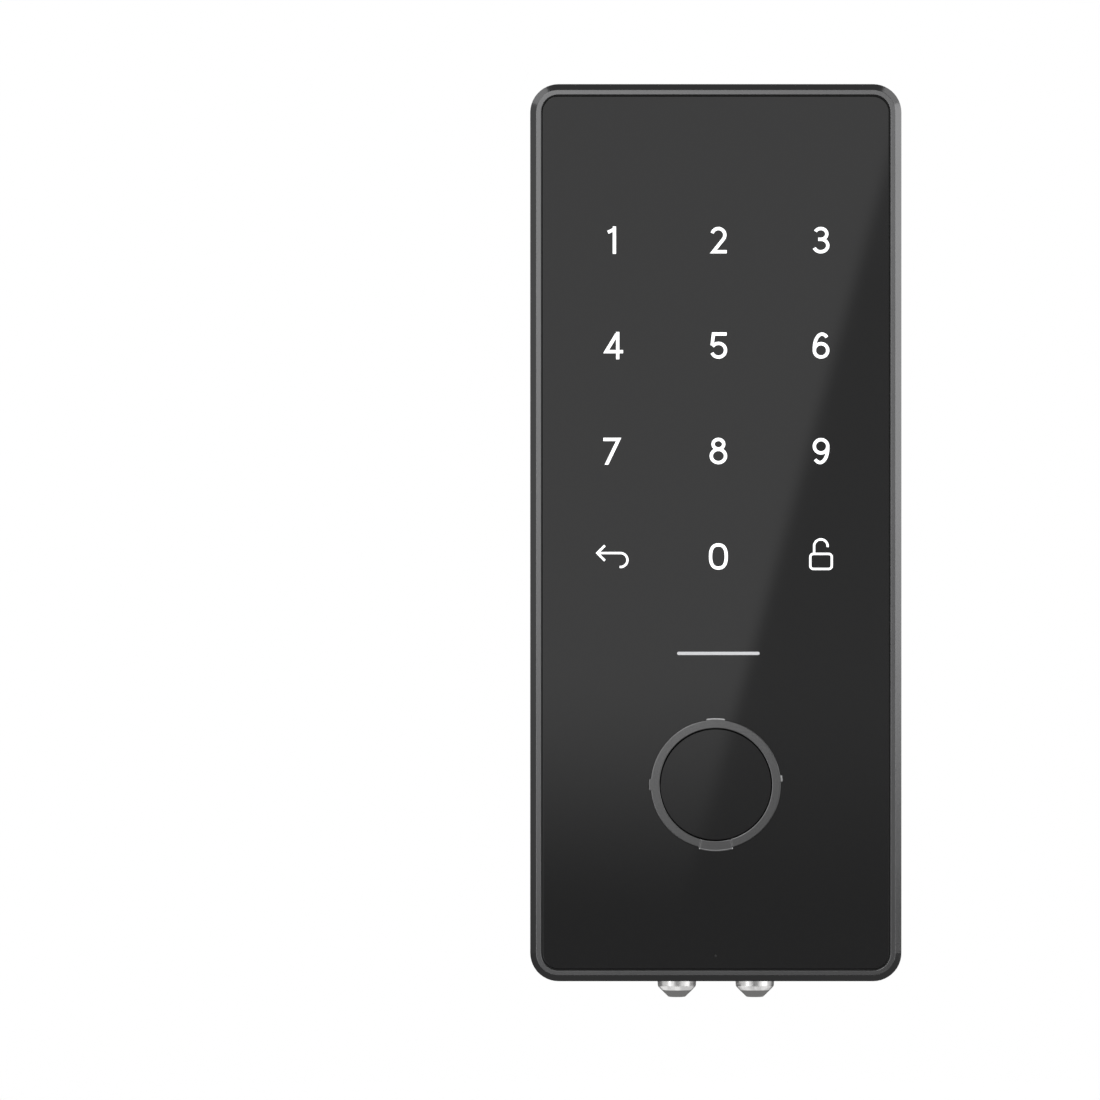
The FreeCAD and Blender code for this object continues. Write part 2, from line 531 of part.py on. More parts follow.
def bolt_guide_plate():
    """Steel plate that keeps the deadbolt in its channel."""
    near = BOLT_FAR + 0.3
    plate = box((-32, 27.0), (near, near + 1.2), (BOLT_BOTTOM + 1, BOLT_TOP + 2))
    ear = box((4, 26), (near, near + 1.2), (BOLT_TOP + 1, 21.2))
    return cut(fused([plate, ear]), [disc(1.3, at, near - 1, near + 3) for at in GUIDE_SCREWS])


def guide_plate_screws():
    seat = BOLT_FAR + 1.5
    return screws(GUIDE_SCREWS, 1.2, 2.2, seat, seat - 9, 1.2)


def shaft_profile(clearance, y0, y1):
    """The thumb turn's round bar with its drive flat."""
    bar = disc(SHAFT_R + clearance, TURN_AT, y0, y1)
    flat = box((SHAFT_FLAT + clearance, SHAFT_R + 2), (y0, y1), (TURN_Z - 6, TURN_Z + 6))
    return bar.cut(flat)


def drive_gear():
    """Gear on the thumb turn's shaft: it moves the rack, and the motor moves it."""
    wheel = gear(DRIVE_TEETH, MODULE, TURN_AT, GEAR_NEAR, GEAR_FAR, DRIVE_PHASE)
    hub = disc(5.0, TURN_AT, MECHANISM + 0.6, GEAR_NEAR + 1)
    relief = ring(10.8, 6.5, TURN_AT, GEAR_FAR - 1.2, GEAR_FAR + 1)
    body = fused([wheel, hub])
    return cut(body, [shaft_profile(0.02, MECHANISM, GEAR_FAR + 1), relief])


def turn_shaft():
    """Steel shaft from the chassis bearing to the thumb turn."""
    journal = disc(SHAFT_R, TURN_AT, CHASSIS_WALL + 0.1, MECHANISM + 0.6)
    return fused([journal, shaft_profile(0.0, MECHANISM + 0.6, ROOM_SIDE + 8.0)])


def thumb_turn():
    """Inside knob: hub through the cover, round base and a lever to grip."""
    face = ROOM_SIDE + 0.4
    base = disc(KNOB_R, TURN_AT, face, face + KNOB_BASE)
    base = base.makeFillet(1.2, edges_at(base, face + KNOB_BASE))
    lever = slab(LEVER_WIDTH, LEVER_LENGTH - 4, LEVER_WIDTH / 2 - 0.05, face, face + KNOB_REACH, z=TURN_Z)
    lever = lever.makeFillet(1.8, edges_at(lever, face + KNOB_REACH))
    hub = disc(HUB_R, TURN_AT, COVER_FACE - 2.5, face)
    return cut(fused([base, lever, hub]), [shaft_profile(0.02, COVER_FACE - 4, ROOM_SIDE + 8.1)])


def wave_washer():
    """Thin washer behind the cover that steadies the knob's hub."""
    return ring(HUB_R + 2.5, HUB_R + 0.3, TURN_AT, COVER_FACE - 0.7, COVER_FACE - 0.1)


def hub_clip():
    """Retaining ring in front of the washer, round the knob's hub."""
    return ring(HUB_R + 2.0, HUB_R, TURN_AT, COVER_FACE - 1.9, COVER_FACE - 0.9)


def reduction_gear():
    """Compound gear: the wheel meets the motor pinion, the pinion meets the drive gear."""
    wheel = gear(WHEEL_TEETH, FINE_MODULE, REDUCTION_AT, WHEEL_NEAR, WHEEL_FAR, WHEEL_PHASE)
    pinion = gear(PINION_TEETH, MODULE, REDUCTION_AT, WHEEL_FAR, GEAR_FAR, PINION_PHASE)
    return cut(fused([wheel, pinion]), [disc(AXLE_R + 0.04, REDUCTION_AT, MECHANISM, SPLIT)])


def gear_axle():
    return disc(AXLE_R, REDUCTION_AT, CHASSIS_WALL + 0.2, GEAR_PLATE_NEAR + GEAR_PLATE_THICK)


def motor_pinion():
    """The gearbox's output shaft with its pinion."""
    pinion = gear(MOTOR_TEETH, FINE_MODULE, MOTOR_AT, WHEEL_NEAR, WHEEL_FAR + 0.2, MOTOR_PHASE)
    return fused([pinion, disc(AXLE_R, MOTOR_AT, MECHANISM + 0.5, GEAR_PLATE_NEAR + GEAR_PLATE_THICK)])


def gear_plate():
    """Steel plate over the gear train: it carries the shafts' upper ends and the motor."""
    near, far = GEAR_PLATE_NEAR, GEAR_PLATE_NEAR + GEAR_PLATE_THICK
    plate = slab(55.5, 47, 4, near, far, x=-4.0, z=-42.6)
    holes = [disc(SHAFT_R + RUNNING, TURN_AT, near - 1, far + 1),
             disc(AXLE_R, REDUCTION_AT, near - 1, far + 1),
             disc(3.0, MOTOR_AT, near - 1, far + 1)]
    return cut(plate, holes + [disc(1.3, at, near - 1, far + 1) for at in GEAR_PLATE_SCREWS])


def gear_plate_screws():
    seat = GEAR_PLATE_NEAR + GEAR_PLATE_THICK
    return screws(GEAR_PLATE_SCREWS, 1.2, 2.2, seat, seat - 8, 1.4)


def motor_gearbox():
    """Planetary gearbox on the gear plate."""
    near = GEAR_PLATE_NEAR + GEAR_PLATE_THICK
    return disc(MOTOR_R, MOTOR_AT, near, near + GEARBOX_LENGTH)


def gear_motor():
    """Flat motor can with its rear bearing and two tags."""
    near = GEAR_PLATE_NEAR + GEAR_PLATE_THICK + GEARBOX_LENGTH
    far = near + MOTOR_LENGTH
    can = disc(MOTOR_R - 0.2, MOTOR_AT, near, far)
    can = can.makeFillet(0.8, edges_at(can, far))
    x, z = MOTOR_AT
    tags = [box((x + s * 6 - 1, x + s * 6 + 1), (far - 1, far + 1.2), (z - 7.2, z - 6.8)) for s in (-1, 1)]
    return fused([can, disc(3.0, MOTOR_AT, far - 1, far + 0.8)] + tags)


def main_board():
    y0 = MAIN_BOARD_NEAR
    board = box((-30, 30), (y0, y0 + BOARD), (TRAY_LOW, 80))
    return cut(board, [disc(1.3, at, y0 - 1, y0 + 3) for at in BOARD_SCREWS])


def main_board_parts():
    """Motor driver, regulator, coil and small parts of the inside board."""
    y0 = MAIN_BOARD_NEAR + BOARD
    layout = [((-12, 46), (12, 12, 1.4)), ((12, 50), (10, 8, 1.6)), ((14, 66), (8, 8, 4.0)),
              ((-14, 66), (7, 5, 1.4)), ((-22, 52), (4, 6, 2.0)), ((22, 58), (4, 6, 2.0))]
    blocks = [box((x - w / 2, x + w / 2), (y0, y0 + d), (z - h / 2, z + h / 2))
              for (x, z), (w, h, d) in layout]
    cans = [disc(2.6, at, y0, y0 + 5.4) for at in ((-6, 74), (2, 74))]
    return Part.makeCompound(blocks + cans)


def main_board_connector():
    y0 = MAIN_BOARD_NEAR + BOARD
    return connector((0, 33), 12.0, y0, y0 + 5.0)


def main_board_screws():
    seat = MAIN_BOARD_NEAR + BOARD
    return screws(BOARD_SCREWS, 1.2, 2.2, seat, seat - 5, 1.4)


def battery_tray():
    """Plastic tray: floor with ribs between the cells, end walls, and the ledge of the set-up button."""
    outer = box((-TRAY_HALF, TRAY_HALF), (TRAY_FLOOR, TRAY_RIM), (TRAY_LOW, TRAY_HIGH))
    hollow = box((-TRAY_HALF + TRAY_WALL, TRAY_HALF - TRAY_WALL), (TRAY_FLOOR + TRAY_WALL, TRAY_RIM + 1),
                 (TRAY_LOW + TRAY_WALL, TRAY_HIGH - TRAY_WALL))
    ribs = [box((x - 0.9, x + 0.9), (TRAY_FLOOR + TRAY_WALL, TRAY_FLOOR + 4.2), (TRAY_LOW + 8, TRAY_HIGH - 8))
            for x in (-CELL_PITCH, 0.0, CELL_PITCH)]
    cradles = [Part.makeCylinder(CELL_R + 0.1, CELL_LENGTH + 8, Vector(x, CELL_Y, TRAY_LOW + 1))
               for x in cell_places()]
    ledge = box((-TRAY_HALF, TRAY_HALF), (LEDGE_NEAR, LEDGE_NEAR + 2), (LEDGE_LOW, TRAY_LOW + 0.5))
    legs = [box(sorted((s * 26.5, s * 29.5)), (MAIN_BOARD_NEAR + BOARD, TRAY_FLOOR), (z - 2, z + 2))
            for s in (-1, 1) for z in (44, 62)]
    wall = INNER_CLEAR_WIDTH / 2
    lugs = [box(sorted((s * TRAY_HALF, s * wall)), (TRAY_FLOOR + 3, TRAY_FLOOR + 5), (z - 3, z + 3))
            for s in (-1, 1) for z in (32, 74)]
    body = fused([cut(outer, [hollow])] + [cut(r, cradles) for r in ribs] + [ledge] + legs + lugs)
    return cut(body, [disc(SETUP_R + 0.12, SETUP_AT, LEDGE_NEAR - 1, LEDGE_NEAR + 3)])


def battery(index):
    """One AA cell. Every second cell stands the other way up."""
    x = cell_places()[index]
    can = Part.makeCylinder(CELL_R, CELL_LENGTH, Vector(x, CELL_Y, CELL_BOTTOM))
    can = can.makeFillet(0.5, [e for e in can.Edges if isinstance(e.Curve, Part.Circle)])
    nub = Part.makeCylinder(CELL_NUB_R, CELL_NUB + 1, Vector(x, CELL_Y, CELL_BOTTOM + CELL_LENGTH - 1))
    cell = can.fuse(nub).removeSplitter()
    if index % 2:
        middle = CELL_BOTTOM + CELL_LENGTH / 2
        cell.rotate(Vector(x, CELL_Y, middle), Vector(0, 1, 0), 180)
    return cell


def battery_contacts():
    """Nickel plates on the tray's end walls, each bent round a touching point."""
    made = []
    for index, x in enumerate(cell_places()):
        nub_up = index % 2 == 0
        for high in (False, True):
            wall = TRAY_HIGH - TRAY_WALL if high else TRAY_LOW + TRAY_WALL
            inward = -1 if high else 1
            cell_end = CELL_BOTTOM + CELL_LENGTH if high else CELL_BOTTOM
            is_nub = nub_up == high
            reach = cell_end + (CELL_NUB if is_nub else 0.0) * (1 if high else -1)
            plate = box((x - 5, x + 5), (CELL_Y - 6, CELL_Y + 5), sorted((wall, wall + inward * 0.4)))
            radius = CELL_NUB_R - 0.4 if is_nub else 3.4
            stem = sorted((wall, reach - inward * 0.05))
            made.append(plate.fuse(Part.makeCylinder(radius, stem[1] - stem[0], Vector(x, CELL_Y, stem[0]))))
    return Part.makeCompound(made)


def inside_shell():
    """The cover and the battery cover in one piece, before they are parted."""
    outer = slab(INNER_WIDTH, INNER_HEIGHT, INNER_CORNER, SPLIT, ROOM_SIDE)
    outer = outer.makeFillet(3.0, edges_at(outer, ROOM_SIDE))
    return cut(outer, [slab(INNER_CLEAR_WIDTH, INNER_CLEAR_HEIGHT, 3.5, SPLIT, COVER_FACE)])


def hatch_region(gap):
    """The part of the shell that belongs to the battery cover."""
    return box((-40, 40), (HATCH_SPLIT + gap, ROOM_SIDE + 5), (HATCH_LOW + gap, 100))


def inner_cover():
    """Inside cover: lower face, side walls, rails for the battery cover, screw bosses."""
    body = cut(inside_shell(), [hatch_region(0.0)])
    rails = [box(sorted((s * RAIL_IN, s * 33.2)), (RAIL_NEAR, HATCH_SPLIT), (HATCH_LOW + 3, 84.2))
             for s in (-1, 1)]
    bosses = [disc(2.7, at, SPLIT, SPLIT + 7.0) for at in CASE_SCREWS]
    outline = slab(INNER_WIDTH, INNER_HEIGHT, INNER_CORNER, SPLIT, ROOM_SIDE)
    pillars = [disc(2.0, (x, BUTTON_AT[1]), BUTTON_BOARD_FACE, COVER_FACE) for x in (-13, 13)]
    body = fused([body] + rails + pillars + [b.common(outline) for b in bosses])
    holes = [disc(1.25, at, SPLIT - 1, SPLIT + 6.0) for at in CASE_SCREWS]
    holes.append(disc(HUB_R + 0.3, TURN_AT, COVER_FACE - 1, ROOM_SIDE + 1))
    holes.append(disc(BUTTON_R + 0.25, BUTTON_AT, COVER_FACE - 1, ROOM_SIDE + 1))
    notches = [box(sorted((s * 30.3, s * 33.1)), (RAIL_NEAR - 1.4, HATCH_SPLIT), (80.0, 87.0))
               for s in (-1, 1)]
    return cut(body, holes + notches)


def battery_cover():
    """Upper face of the inside unit. It slides up off its rails to open the battery compartment."""
    body = inside_shell().common(hatch_region(FIT))
    hooks = []
    for z in HOOK_Z:
        for s in (-1, 1):
            leg = box(sorted((s * 30.6, s * 31.25)), (RAIL_NEAR - 1.2, COVER_FACE + 0.2), (z - 3, z + 3))
            foot = box(sorted((s * 30.6, s * 32.8)), (RAIL_NEAR - 1.2, RAIL_NEAR - 0.15), (z - 3, z + 3))
            hooks += [leg, foot]
    plugs = [box(sorted((s * 30.4, s * 33.0)), (RAIL_NEAR - 1.3, HATCH_SPLIT + 1), (84.1, 86.5))
             for s in (-1, 1)]
    outline = slab(INNER_WIDTH, INNER_HEIGHT, INNER_CORNER, SPLIT, ROOM_SIDE)
    grip = [box((-9, 9), (ROOM_SIDE - 0.6, ROOM_SIDE + 1), (HATCH_LOW + 5 + i * 2.0, HATCH_LOW + 6 + i * 2.0))
            for i in range(4)]
    return cut(fused([body] + hooks + [p.common(outline) for p in plugs]), grip)


def chassis_screws():
    return screws(CHASSIS_SCREWS, 1.5, 2.8, MECHANISM, DOOR + 0.1, 1.8)


def inner_case_screws():
    return screws(CASE_SCREWS, 1.2, 2.4, CHASSIS_WALL, SPLIT + 5.0, 1.5)


def setup_button():
    """Small plunger under the battery cover that pairs or resets the lock."""
    plunger = disc(SETUP_R, SETUP_AT, LEDGE_NEAR - 1.4, LEDGE_NEAR + 2.6)
    return fused([plunger, disc(SETUP_R + 0.8, SETUP_AT, LEDGE_NEAR - 0.9, LEDGE_NEAR - 0.1)])


def setup_switch():
    """Tactile switch with its own small board under the ledge."""
    x, z = SETUP_AT
    top = LEDGE_NEAR - 2.0
    return fused([box((x - 3, x + 3), (top - 3.2, top), (z - 3, z + 2.6)),
                  box((x - 7, x + 7), (top - 4.2, top - 3.2), (z - 3.1, z + 3))])


def lock_button():
    """Round push button on the inside face that locks or unlocks by motor."""
    cap = disc(BUTTON_R, BUTTON_AT, COVER_FACE - 1.4, ROOM_SIDE + 1.2)
    cap = cap.makeFillet(0.6, edges_at(cap, ROOM_SIDE + 1.2))
    flange = disc(BUTTON_R + 1.2, BUTTON_AT, COVER_FACE - 1.4, COVER_FACE - 0.5)
    stem = disc(1.5, BUTTON_AT, COVER_FACE - 3.0, COVER_FACE - 1.4)
    return fused([cap, flange, stem])


def button_board():
    """Small board with the switch that the inside button presses."""
    x, z = BUTTON_AT
    board = box((x - 16, x + 16), (BUTTON_BOARD_FACE - 1.4, BUTTON_BOARD_FACE), (z - 7, z + 6.2))
    switch = box((x - 3, x + 3), (BUTTON_BOARD_FACE, BUTTON_BOARD_FACE + 3.0), (z - 3, z + 3))
    return fused([board, switch])


# ---- output --------------------------------------------------------------------------------
OUTSIDE = [outer_frame, panel_glass, light_mask, touch_springs, light_diffusers, key_leds, touch_board,
           board_components, board_connector, buzzer, fingerprint_ring, fingerprint_sensor, sensor_module,
           sensor_retainer, outer_back_plate, outer_case_screws, cable_grommet, door_gasket, terminal_block,
           terminal_bushings]
THROUGH = [mounting_plate, through_bolts]
MECHANICS = [inner_chassis, bolt_bush, deadbolt, bolt_rack, bolt_guide_plate, guide_plate_screws, drive_gear,
             turn_shaft, thumb_turn, wave_washer, hub_clip, reduction_gear, gear_axle, motor_pinion,
             gear_plate,
             gear_plate_screws, motor_gearbox, gear_motor]
INSIDE = [main_board, main_board_parts, main_board_connector, main_board_screws, battery_tray,
          battery_contacts, inner_cover, battery_cover, chassis_screws, inner_case_screws, setup_button,
          setup_switch, lock_button, button_board]

pieces = {make.__name__: make() for make in OUTSIDE + THROUGH + MECHANICS + INSIDE}
pieces["power_terminal_left"] = power_terminal(-TERMINAL_X)
pieces["power_terminal_right"] = power_terminal(TERMINAL_X)
for number in range(4):
    pieces[f"battery_{number + 1}"] = battery(number)

os.makedirs("parts", exist_ok=True)
for name, shape in pieces.items():
    if not shape.isValid() or not shape.Solids:
        raise RuntimeError(f"{name} is not a valid solid")
    shape.exportStep(f"parts/{name}.step")
    size = shape.BoundBox
    print(f"{name}: {len(shape.Solids)} solids, {size.XLength:.1f} x {size.YLength:.1f} x {size.ZLength:.1f}")
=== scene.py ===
"""Keypad smart lock, seen straight from the front: camera, studio, finishes and the fine pieces."""
import math

import bmesh
import bpy
import numpy as np
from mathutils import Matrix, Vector


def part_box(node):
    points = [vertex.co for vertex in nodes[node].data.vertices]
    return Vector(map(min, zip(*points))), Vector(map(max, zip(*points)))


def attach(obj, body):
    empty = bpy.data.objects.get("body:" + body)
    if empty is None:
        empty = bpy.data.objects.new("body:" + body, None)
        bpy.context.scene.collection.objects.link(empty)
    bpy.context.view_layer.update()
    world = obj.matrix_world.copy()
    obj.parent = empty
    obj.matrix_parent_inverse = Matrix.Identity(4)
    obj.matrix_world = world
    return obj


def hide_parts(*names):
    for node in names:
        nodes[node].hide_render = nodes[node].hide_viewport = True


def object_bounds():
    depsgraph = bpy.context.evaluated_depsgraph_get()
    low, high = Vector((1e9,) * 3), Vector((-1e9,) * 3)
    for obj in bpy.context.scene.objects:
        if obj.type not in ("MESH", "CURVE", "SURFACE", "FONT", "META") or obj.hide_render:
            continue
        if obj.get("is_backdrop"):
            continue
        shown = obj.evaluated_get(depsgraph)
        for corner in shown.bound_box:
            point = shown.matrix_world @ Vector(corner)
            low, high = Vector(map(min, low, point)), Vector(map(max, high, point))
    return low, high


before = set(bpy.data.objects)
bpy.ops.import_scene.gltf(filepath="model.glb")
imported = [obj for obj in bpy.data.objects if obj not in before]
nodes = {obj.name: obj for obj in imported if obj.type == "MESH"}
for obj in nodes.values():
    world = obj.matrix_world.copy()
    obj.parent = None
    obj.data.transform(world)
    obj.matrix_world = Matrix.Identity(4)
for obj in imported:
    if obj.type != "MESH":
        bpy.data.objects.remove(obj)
cad_low, cad_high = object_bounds()
scene = bpy.context.scene
mm = 0.001

# ---- camera ------------------------------------------------------------------------------
# A long lens level with the middle of the keypad and square to it, so no side of the lock
# shows. The lens is shifted: the lock stands right of the middle and a little above it.
glass_low, glass_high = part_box("panel_glass")
LENS_TO_GLASS = 1.6
VIEW_WIDTH = 0.21322                 # how much the view takes in at the glass
LOCK_RIGHT, LOCK_UP = 0.03214, 0.00336
camera = bpy.data.cameras.new("front_camera")
camera.sensor_width = 36.0
camera.lens = camera.sensor_width * LENS_TO_GLASS / VIEW_WIDTH
camera.shift_x = -LOCK_RIGHT / VIEW_WIDTH
camera.shift_y = -LOCK_UP / VIEW_WIDTH
camera.clip_end = 50
camera_stand = bpy.data.objects.new("front_camera", camera)
camera_stand.location = (0, glass_low.y - LENS_TO_GLASS, 0)
camera_stand.rotation_euler = (math.radians(90), 0, 0)
scene.collection.objects.link(camera_stand)
scene.camera = camera_stand
scene.view_settings.view_transform = "Standard"


# ---- studio -------------------------------------------------------------------------------
# A white room. The lock hangs over a pale paper floor that fades out. A large card behind the
# camera shows in the glass: bright left of a slanting edge, dim right of it, dark at the foot.
# Tall strips beside the camera put upright streaks on the round metal pieces.
class Wire:
    """A socket in a material. Arithmetic on wires adds Math nodes to the same material."""

    def __init__(self, finish, socket):
        self.finish = finish
        self.socket = socket

    def math(self, operation, *values):
        return self.finish.node("ShaderNodeMath", {"operation": operation}, dict(enumerate(values)))

    def __add__(self, other):
        return self.math("ADD", self, other)

    def __sub__(self, other):
        return self.math("SUBTRACT", self, other)

    def __rsub__(self, other):
        return self.math("SUBTRACT", other, self)

    def __mul__(self, other):
        return self.math("MULTIPLY", self, other)

    def __truediv__(self, other):
        return self.math("DIVIDE", self, other)

    def __pow__(self, other):
        return self.math("POWER", self, other)

    __radd__ = __add__
    __rmul__ = __mul__

    def larger(self, other):
        return self.math("MAXIMUM", self, other)

    def rise(self, start, end):
        """0 before start, 1 after end, and a smooth step between them."""
        settings = {"interpolation_type": "SMOOTHSTEP"}
        inputs = {"Value": self, "From Min": start, "From Max": end}
        return self.finish.node("ShaderNodeMapRange", settings, inputs)


class Finish:
    """A material being written, with one node of each kind added through node()."""

    def __init__(self, name):
        self.material = bpy.data.materials.new(name)
        self.material.use_nodes = True
        self.tree = self.material.node_tree
        self.tree.nodes.clear()

    def node(self, kind, settings=None, inputs=None, output=0):
        """Adds a node: first its settings, then its sockets' values or links."""
        made = self.tree.nodes.new(kind)
        for key, value in (settings or {}).items():
            setattr(made, key, value)
        for key, value in (inputs or {}).items():
            if isinstance(value, Wire):
                self.tree.links.new(value.socket, made.inputs[key])
            else:
                made.inputs[key].default_value = value
        return Wire(self, made.outputs[output])

    def place(self, stretch=(1, 1, 1)):
        """Object coordinates in metres, stretched along the axes."""
        coordinates = self.node("ShaderNodeTexCoord", output=3)
        return self.node("ShaderNodeMapping", None, {"Vector": coordinates, "Scale": stretch})

    def axes(self):
        """The object coordinates x, y and z, each on its own wire."""
        apart = self.node("ShaderNodeSeparateXYZ", None, {"Vector": self.place()})
        return [Wire(self, socket) for socket in apart.socket.node.outputs]

    def noise(self, per_metre, detail=2.0, stretch=(1, 1, 1), roughness=0.5):
        inputs = {"Vector": self.place(stretch), "Scale": per_metre, "Detail": detail,
                  "Roughness": roughness}
        return self.node("ShaderNodeTexNoise", None, inputs)

    def blend(self, share, first, second):
        """A colour between two colours."""
        first, second = [c if isinstance(c, Wire) else (*c, 1) for c in (first, second)]
        return self.node("ShaderNodeMix", {"data_type": "RGBA"}, {"Factor": share, 6: first, 7: second}, 2)

    def shades(self, share, colour, dark, pale):
        """A colour between two shades of one colour, given as parts of it."""
        return self.blend(share, *[tuple(min(1, c * part) for c in colour) for part in (dark, pale)])

    def bump(self, height, depth, strength=1.0):
        """A normal from a height between 0 and 1 that stands for depth in metres."""
        inputs = {"Height": height, "Distance": depth, "Strength": strength}
        return self.node("ShaderNodeBump", None, inputs)

    def output(self, shader):
        end = self.tree.nodes.new("ShaderNodeOutputMaterial")
        self.tree.links.new(shader.socket, end.inputs["Surface"])
        return self.material

    def surface(self, **sockets):
        """Ends the material with a Principled shader whose sockets are given by name."""
        named = {}
        for key, value in sockets.items():
            colour = isinstance(value, tuple) and len(value) == 3
            named[key.replace("_", " ").title().replace("Ior", "IOR")] = (*value, 1) if colour else value
        return self.output(self.node("ShaderNodeBsdfPrincipled", None, named))


def add_piece(name, mesh, material, body=None, replaces=()):
    """Puts a finished mesh into the scene. Without a body it belongs to the studio."""
    piece = bpy.data.objects.new(name, mesh)
    scene.collection.objects.link(piece)
    mesh.materials.append(material)
    if body is None:
        piece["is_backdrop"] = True
        return piece
    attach(piece, body)
    if replaces:
        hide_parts(*replaces)
    return piece


FLOOR_DROP, FLOOR_RADIUS, FLOOR_STEPS = 0.06, 0.70, 128
FADE_FROM, FADE_TO = 0.30, 0.98      # shares of the radius between which the paper fades out
floor_finish = Finish("floor_paper")
x, y, z = floor_finish.axes()
from_middle = (x * x + y * y) ** 0.5
paper = floor_finish.node("ShaderNodeBsdfPrincipled", None,
                          {"Base Color": (0.93, 0.93, 0.93, 1), "Roughness": 0.9,
                           "Emission Color": (1, 1, 1, 1), "Emission Strength": 0.30})
clear = floor_finish.node("ShaderNodeBsdfTransparent")
underside = floor_finish.node("ShaderNodeNewGeometry", output=6)
fade = from_middle.rise(FLOOR_RADIUS * FADE_FROM, FLOOR_RADIUS * FADE_TO).larger(underside)
floor_finish.output(floor_finish.node("ShaderNodeMixShader", None, {0: fade, 1: paper, 2: clear}))
turn = np.linspace(0, 2 * np.pi, FLOOR_STEPS, endpoint=False)
edge = np.stack([np.cos(turn) * FLOOR_RADIUS, np.sin(turn) * FLOOR_RADIUS,
                 np.full(FLOOR_STEPS, cad_low.z - FLOOR_DROP)], -1)
floor_mesh = bpy.data.meshes.new("floor")
floor_mesh.from_pydata(edge.tolist(), [], [list(range(FLOOR_STEPS))])
floor = add_piece("floor", floor_mesh, floor_finish.material)
floor.visible_glossy = False

CARD_BEHIND = 2.2                    # from the glass to the card
CARD_HALF_WIDE, CARD_HALF_HIGH = 2.4, 1.3
MIRRORED = 1 + CARD_BEHIND / LENS_TO_GLASS  # how much larger the card is than its reflection
# The card's brightness, by places on the glass that reflect it. Each pair is where a change
# starts and ends.
EDGE_FOOT_X, EDGE_FOOT_Z, EDGE_LEAN, EDGE_SOFT = -0.0010, -0.052, 0.277, 0.002
BRIGHT_LEVEL, DIM_LEVEL = 1.07, 0.49          # left and right of the slanting edge
CORNER_LEVEL, CORNER_Z = 0.60, (0.045, 0.085)  # right of the edge, at the top
FOOT_LEVEL, FOOT_Z = 0.29, (-0.077, -0.025)
LEFT_EXTRA, LEFT_X = 0.25, (-0.075, -0.040)
RIGHT_LOSS, RIGHT_X = 0.60, (0.040, 0.070)
BELOW_LEVEL, BELOW_Z = 0.25, (-0.125, -0.092)
FAR_LEFT_LEVEL, FAR_LEFT_X = 1.1, (-0.27, -0.19)
FAR_RIGHT_LEVEL, FAR_RIGHT_X = 0.8, (0.22, 0.55)
card_finish = Finish("card_light")
x, y, z = (axis / MIRRORED for axis in card_finish.axes())
right_of_edge = (x - EDGE_FOOT_X - (z - EDGE_FOOT_Z) * EDGE_LEAN).rise(-EDGE_SOFT, EDGE_SOFT)
above_foot = z.rise(*FOOT_Z)
dim = DIM_LEVEL + z.rise(*CORNER_Z) * (CORNER_LEVEL - DIM_LEVEL)
beside = BRIGHT_LEVEL * (1 - right_of_edge) + dim * right_of_edge
level = FOOT_LEVEL + (beside - FOOT_LEVEL) * above_foot
level = level + (1 - x.rise(*LEFT_X)) * above_foot * LEFT_EXTRA
level = level * (1 - x.rise(*RIGHT_X) * RIGHT_LOSS) * (BELOW_LEVEL + z.rise(*BELOW_Z) * (1 - BELOW_LEVEL))
level = level + (FAR_LEFT_LEVEL - level) * (1 - x.rise(*FAR_LEFT_X))
level = level + (FAR_RIGHT_LEVEL - level) * x.rise(*FAR_RIGHT_X)
glow = card_finish.node("ShaderNodeEmission", None, {"Color": (1, 1, 1, 1), "Strength": level})
card_finish.output(glow)
corners = [(right * CARD_HALF_WIDE, glass_low.y - CARD_BEHIND, up * CARD_HALF_HIGH)
           for right, up in ((-1, -1), (1, -1), (1, 1), (-1, 1))]
card_mesh = bpy.data.meshes.new("card")
card_mesh.from_pydata(corners, [], [(0, 3, 2, 1)])
card = add_piece("card", card_mesh, card_finish.material)
card.visible_camera = False
card.visible_shadow = False

world = bpy.data.worlds.new("white_room")
world.use_nodes = True
world_nodes = world.node_tree.nodes
world_links = world.node_tree.links
world_nodes.clear()
seen = world_nodes.new("ShaderNodeLightPath")
backdrop, room = [world_nodes.new("ShaderNodeBackground") for _ in range(2)]
for part, strength in ((backdrop, 1.0), (room, 0.13)):
    part.inputs["Color"].default_value = (1, 1, 1, 1)
    part.inputs["Strength"].default_value = strength
either = world_nodes.new("ShaderNodeMixShader")
world_end = world_nodes.new("ShaderNodeOutputWorld")
world_links.new(seen.outputs["Is Camera Ray"], either.inputs[0])
world_links.new(room.outputs[0], either.inputs[1])
world_links.new(backdrop.outputs[0], either.inputs[2])
world_links.new(either.outputs[0], world_end.inputs["Surface"])
scene.world = world


def add_softbox(name, place, aim, size, brightness):
    """A rectangular area light at a place, facing another place. Brightness times pi times
    its area is its power."""
    light = bpy.data.lights.new(name, "AREA")
    light.shape = "RECTANGLE"
    light.size, light.size_y = size
    light.energy = brightness * math.pi * size[0] * size[1]
    holder = bpy.data.objects.new(name, light)
    holder.location = place
    holder.rotation_euler = (Vector(aim) - Vector(place)).to_track_quat("-Z", "Y").to_euler()
    holder.visible_camera = False
    scene.collection.objects.link(holder)
    return holder


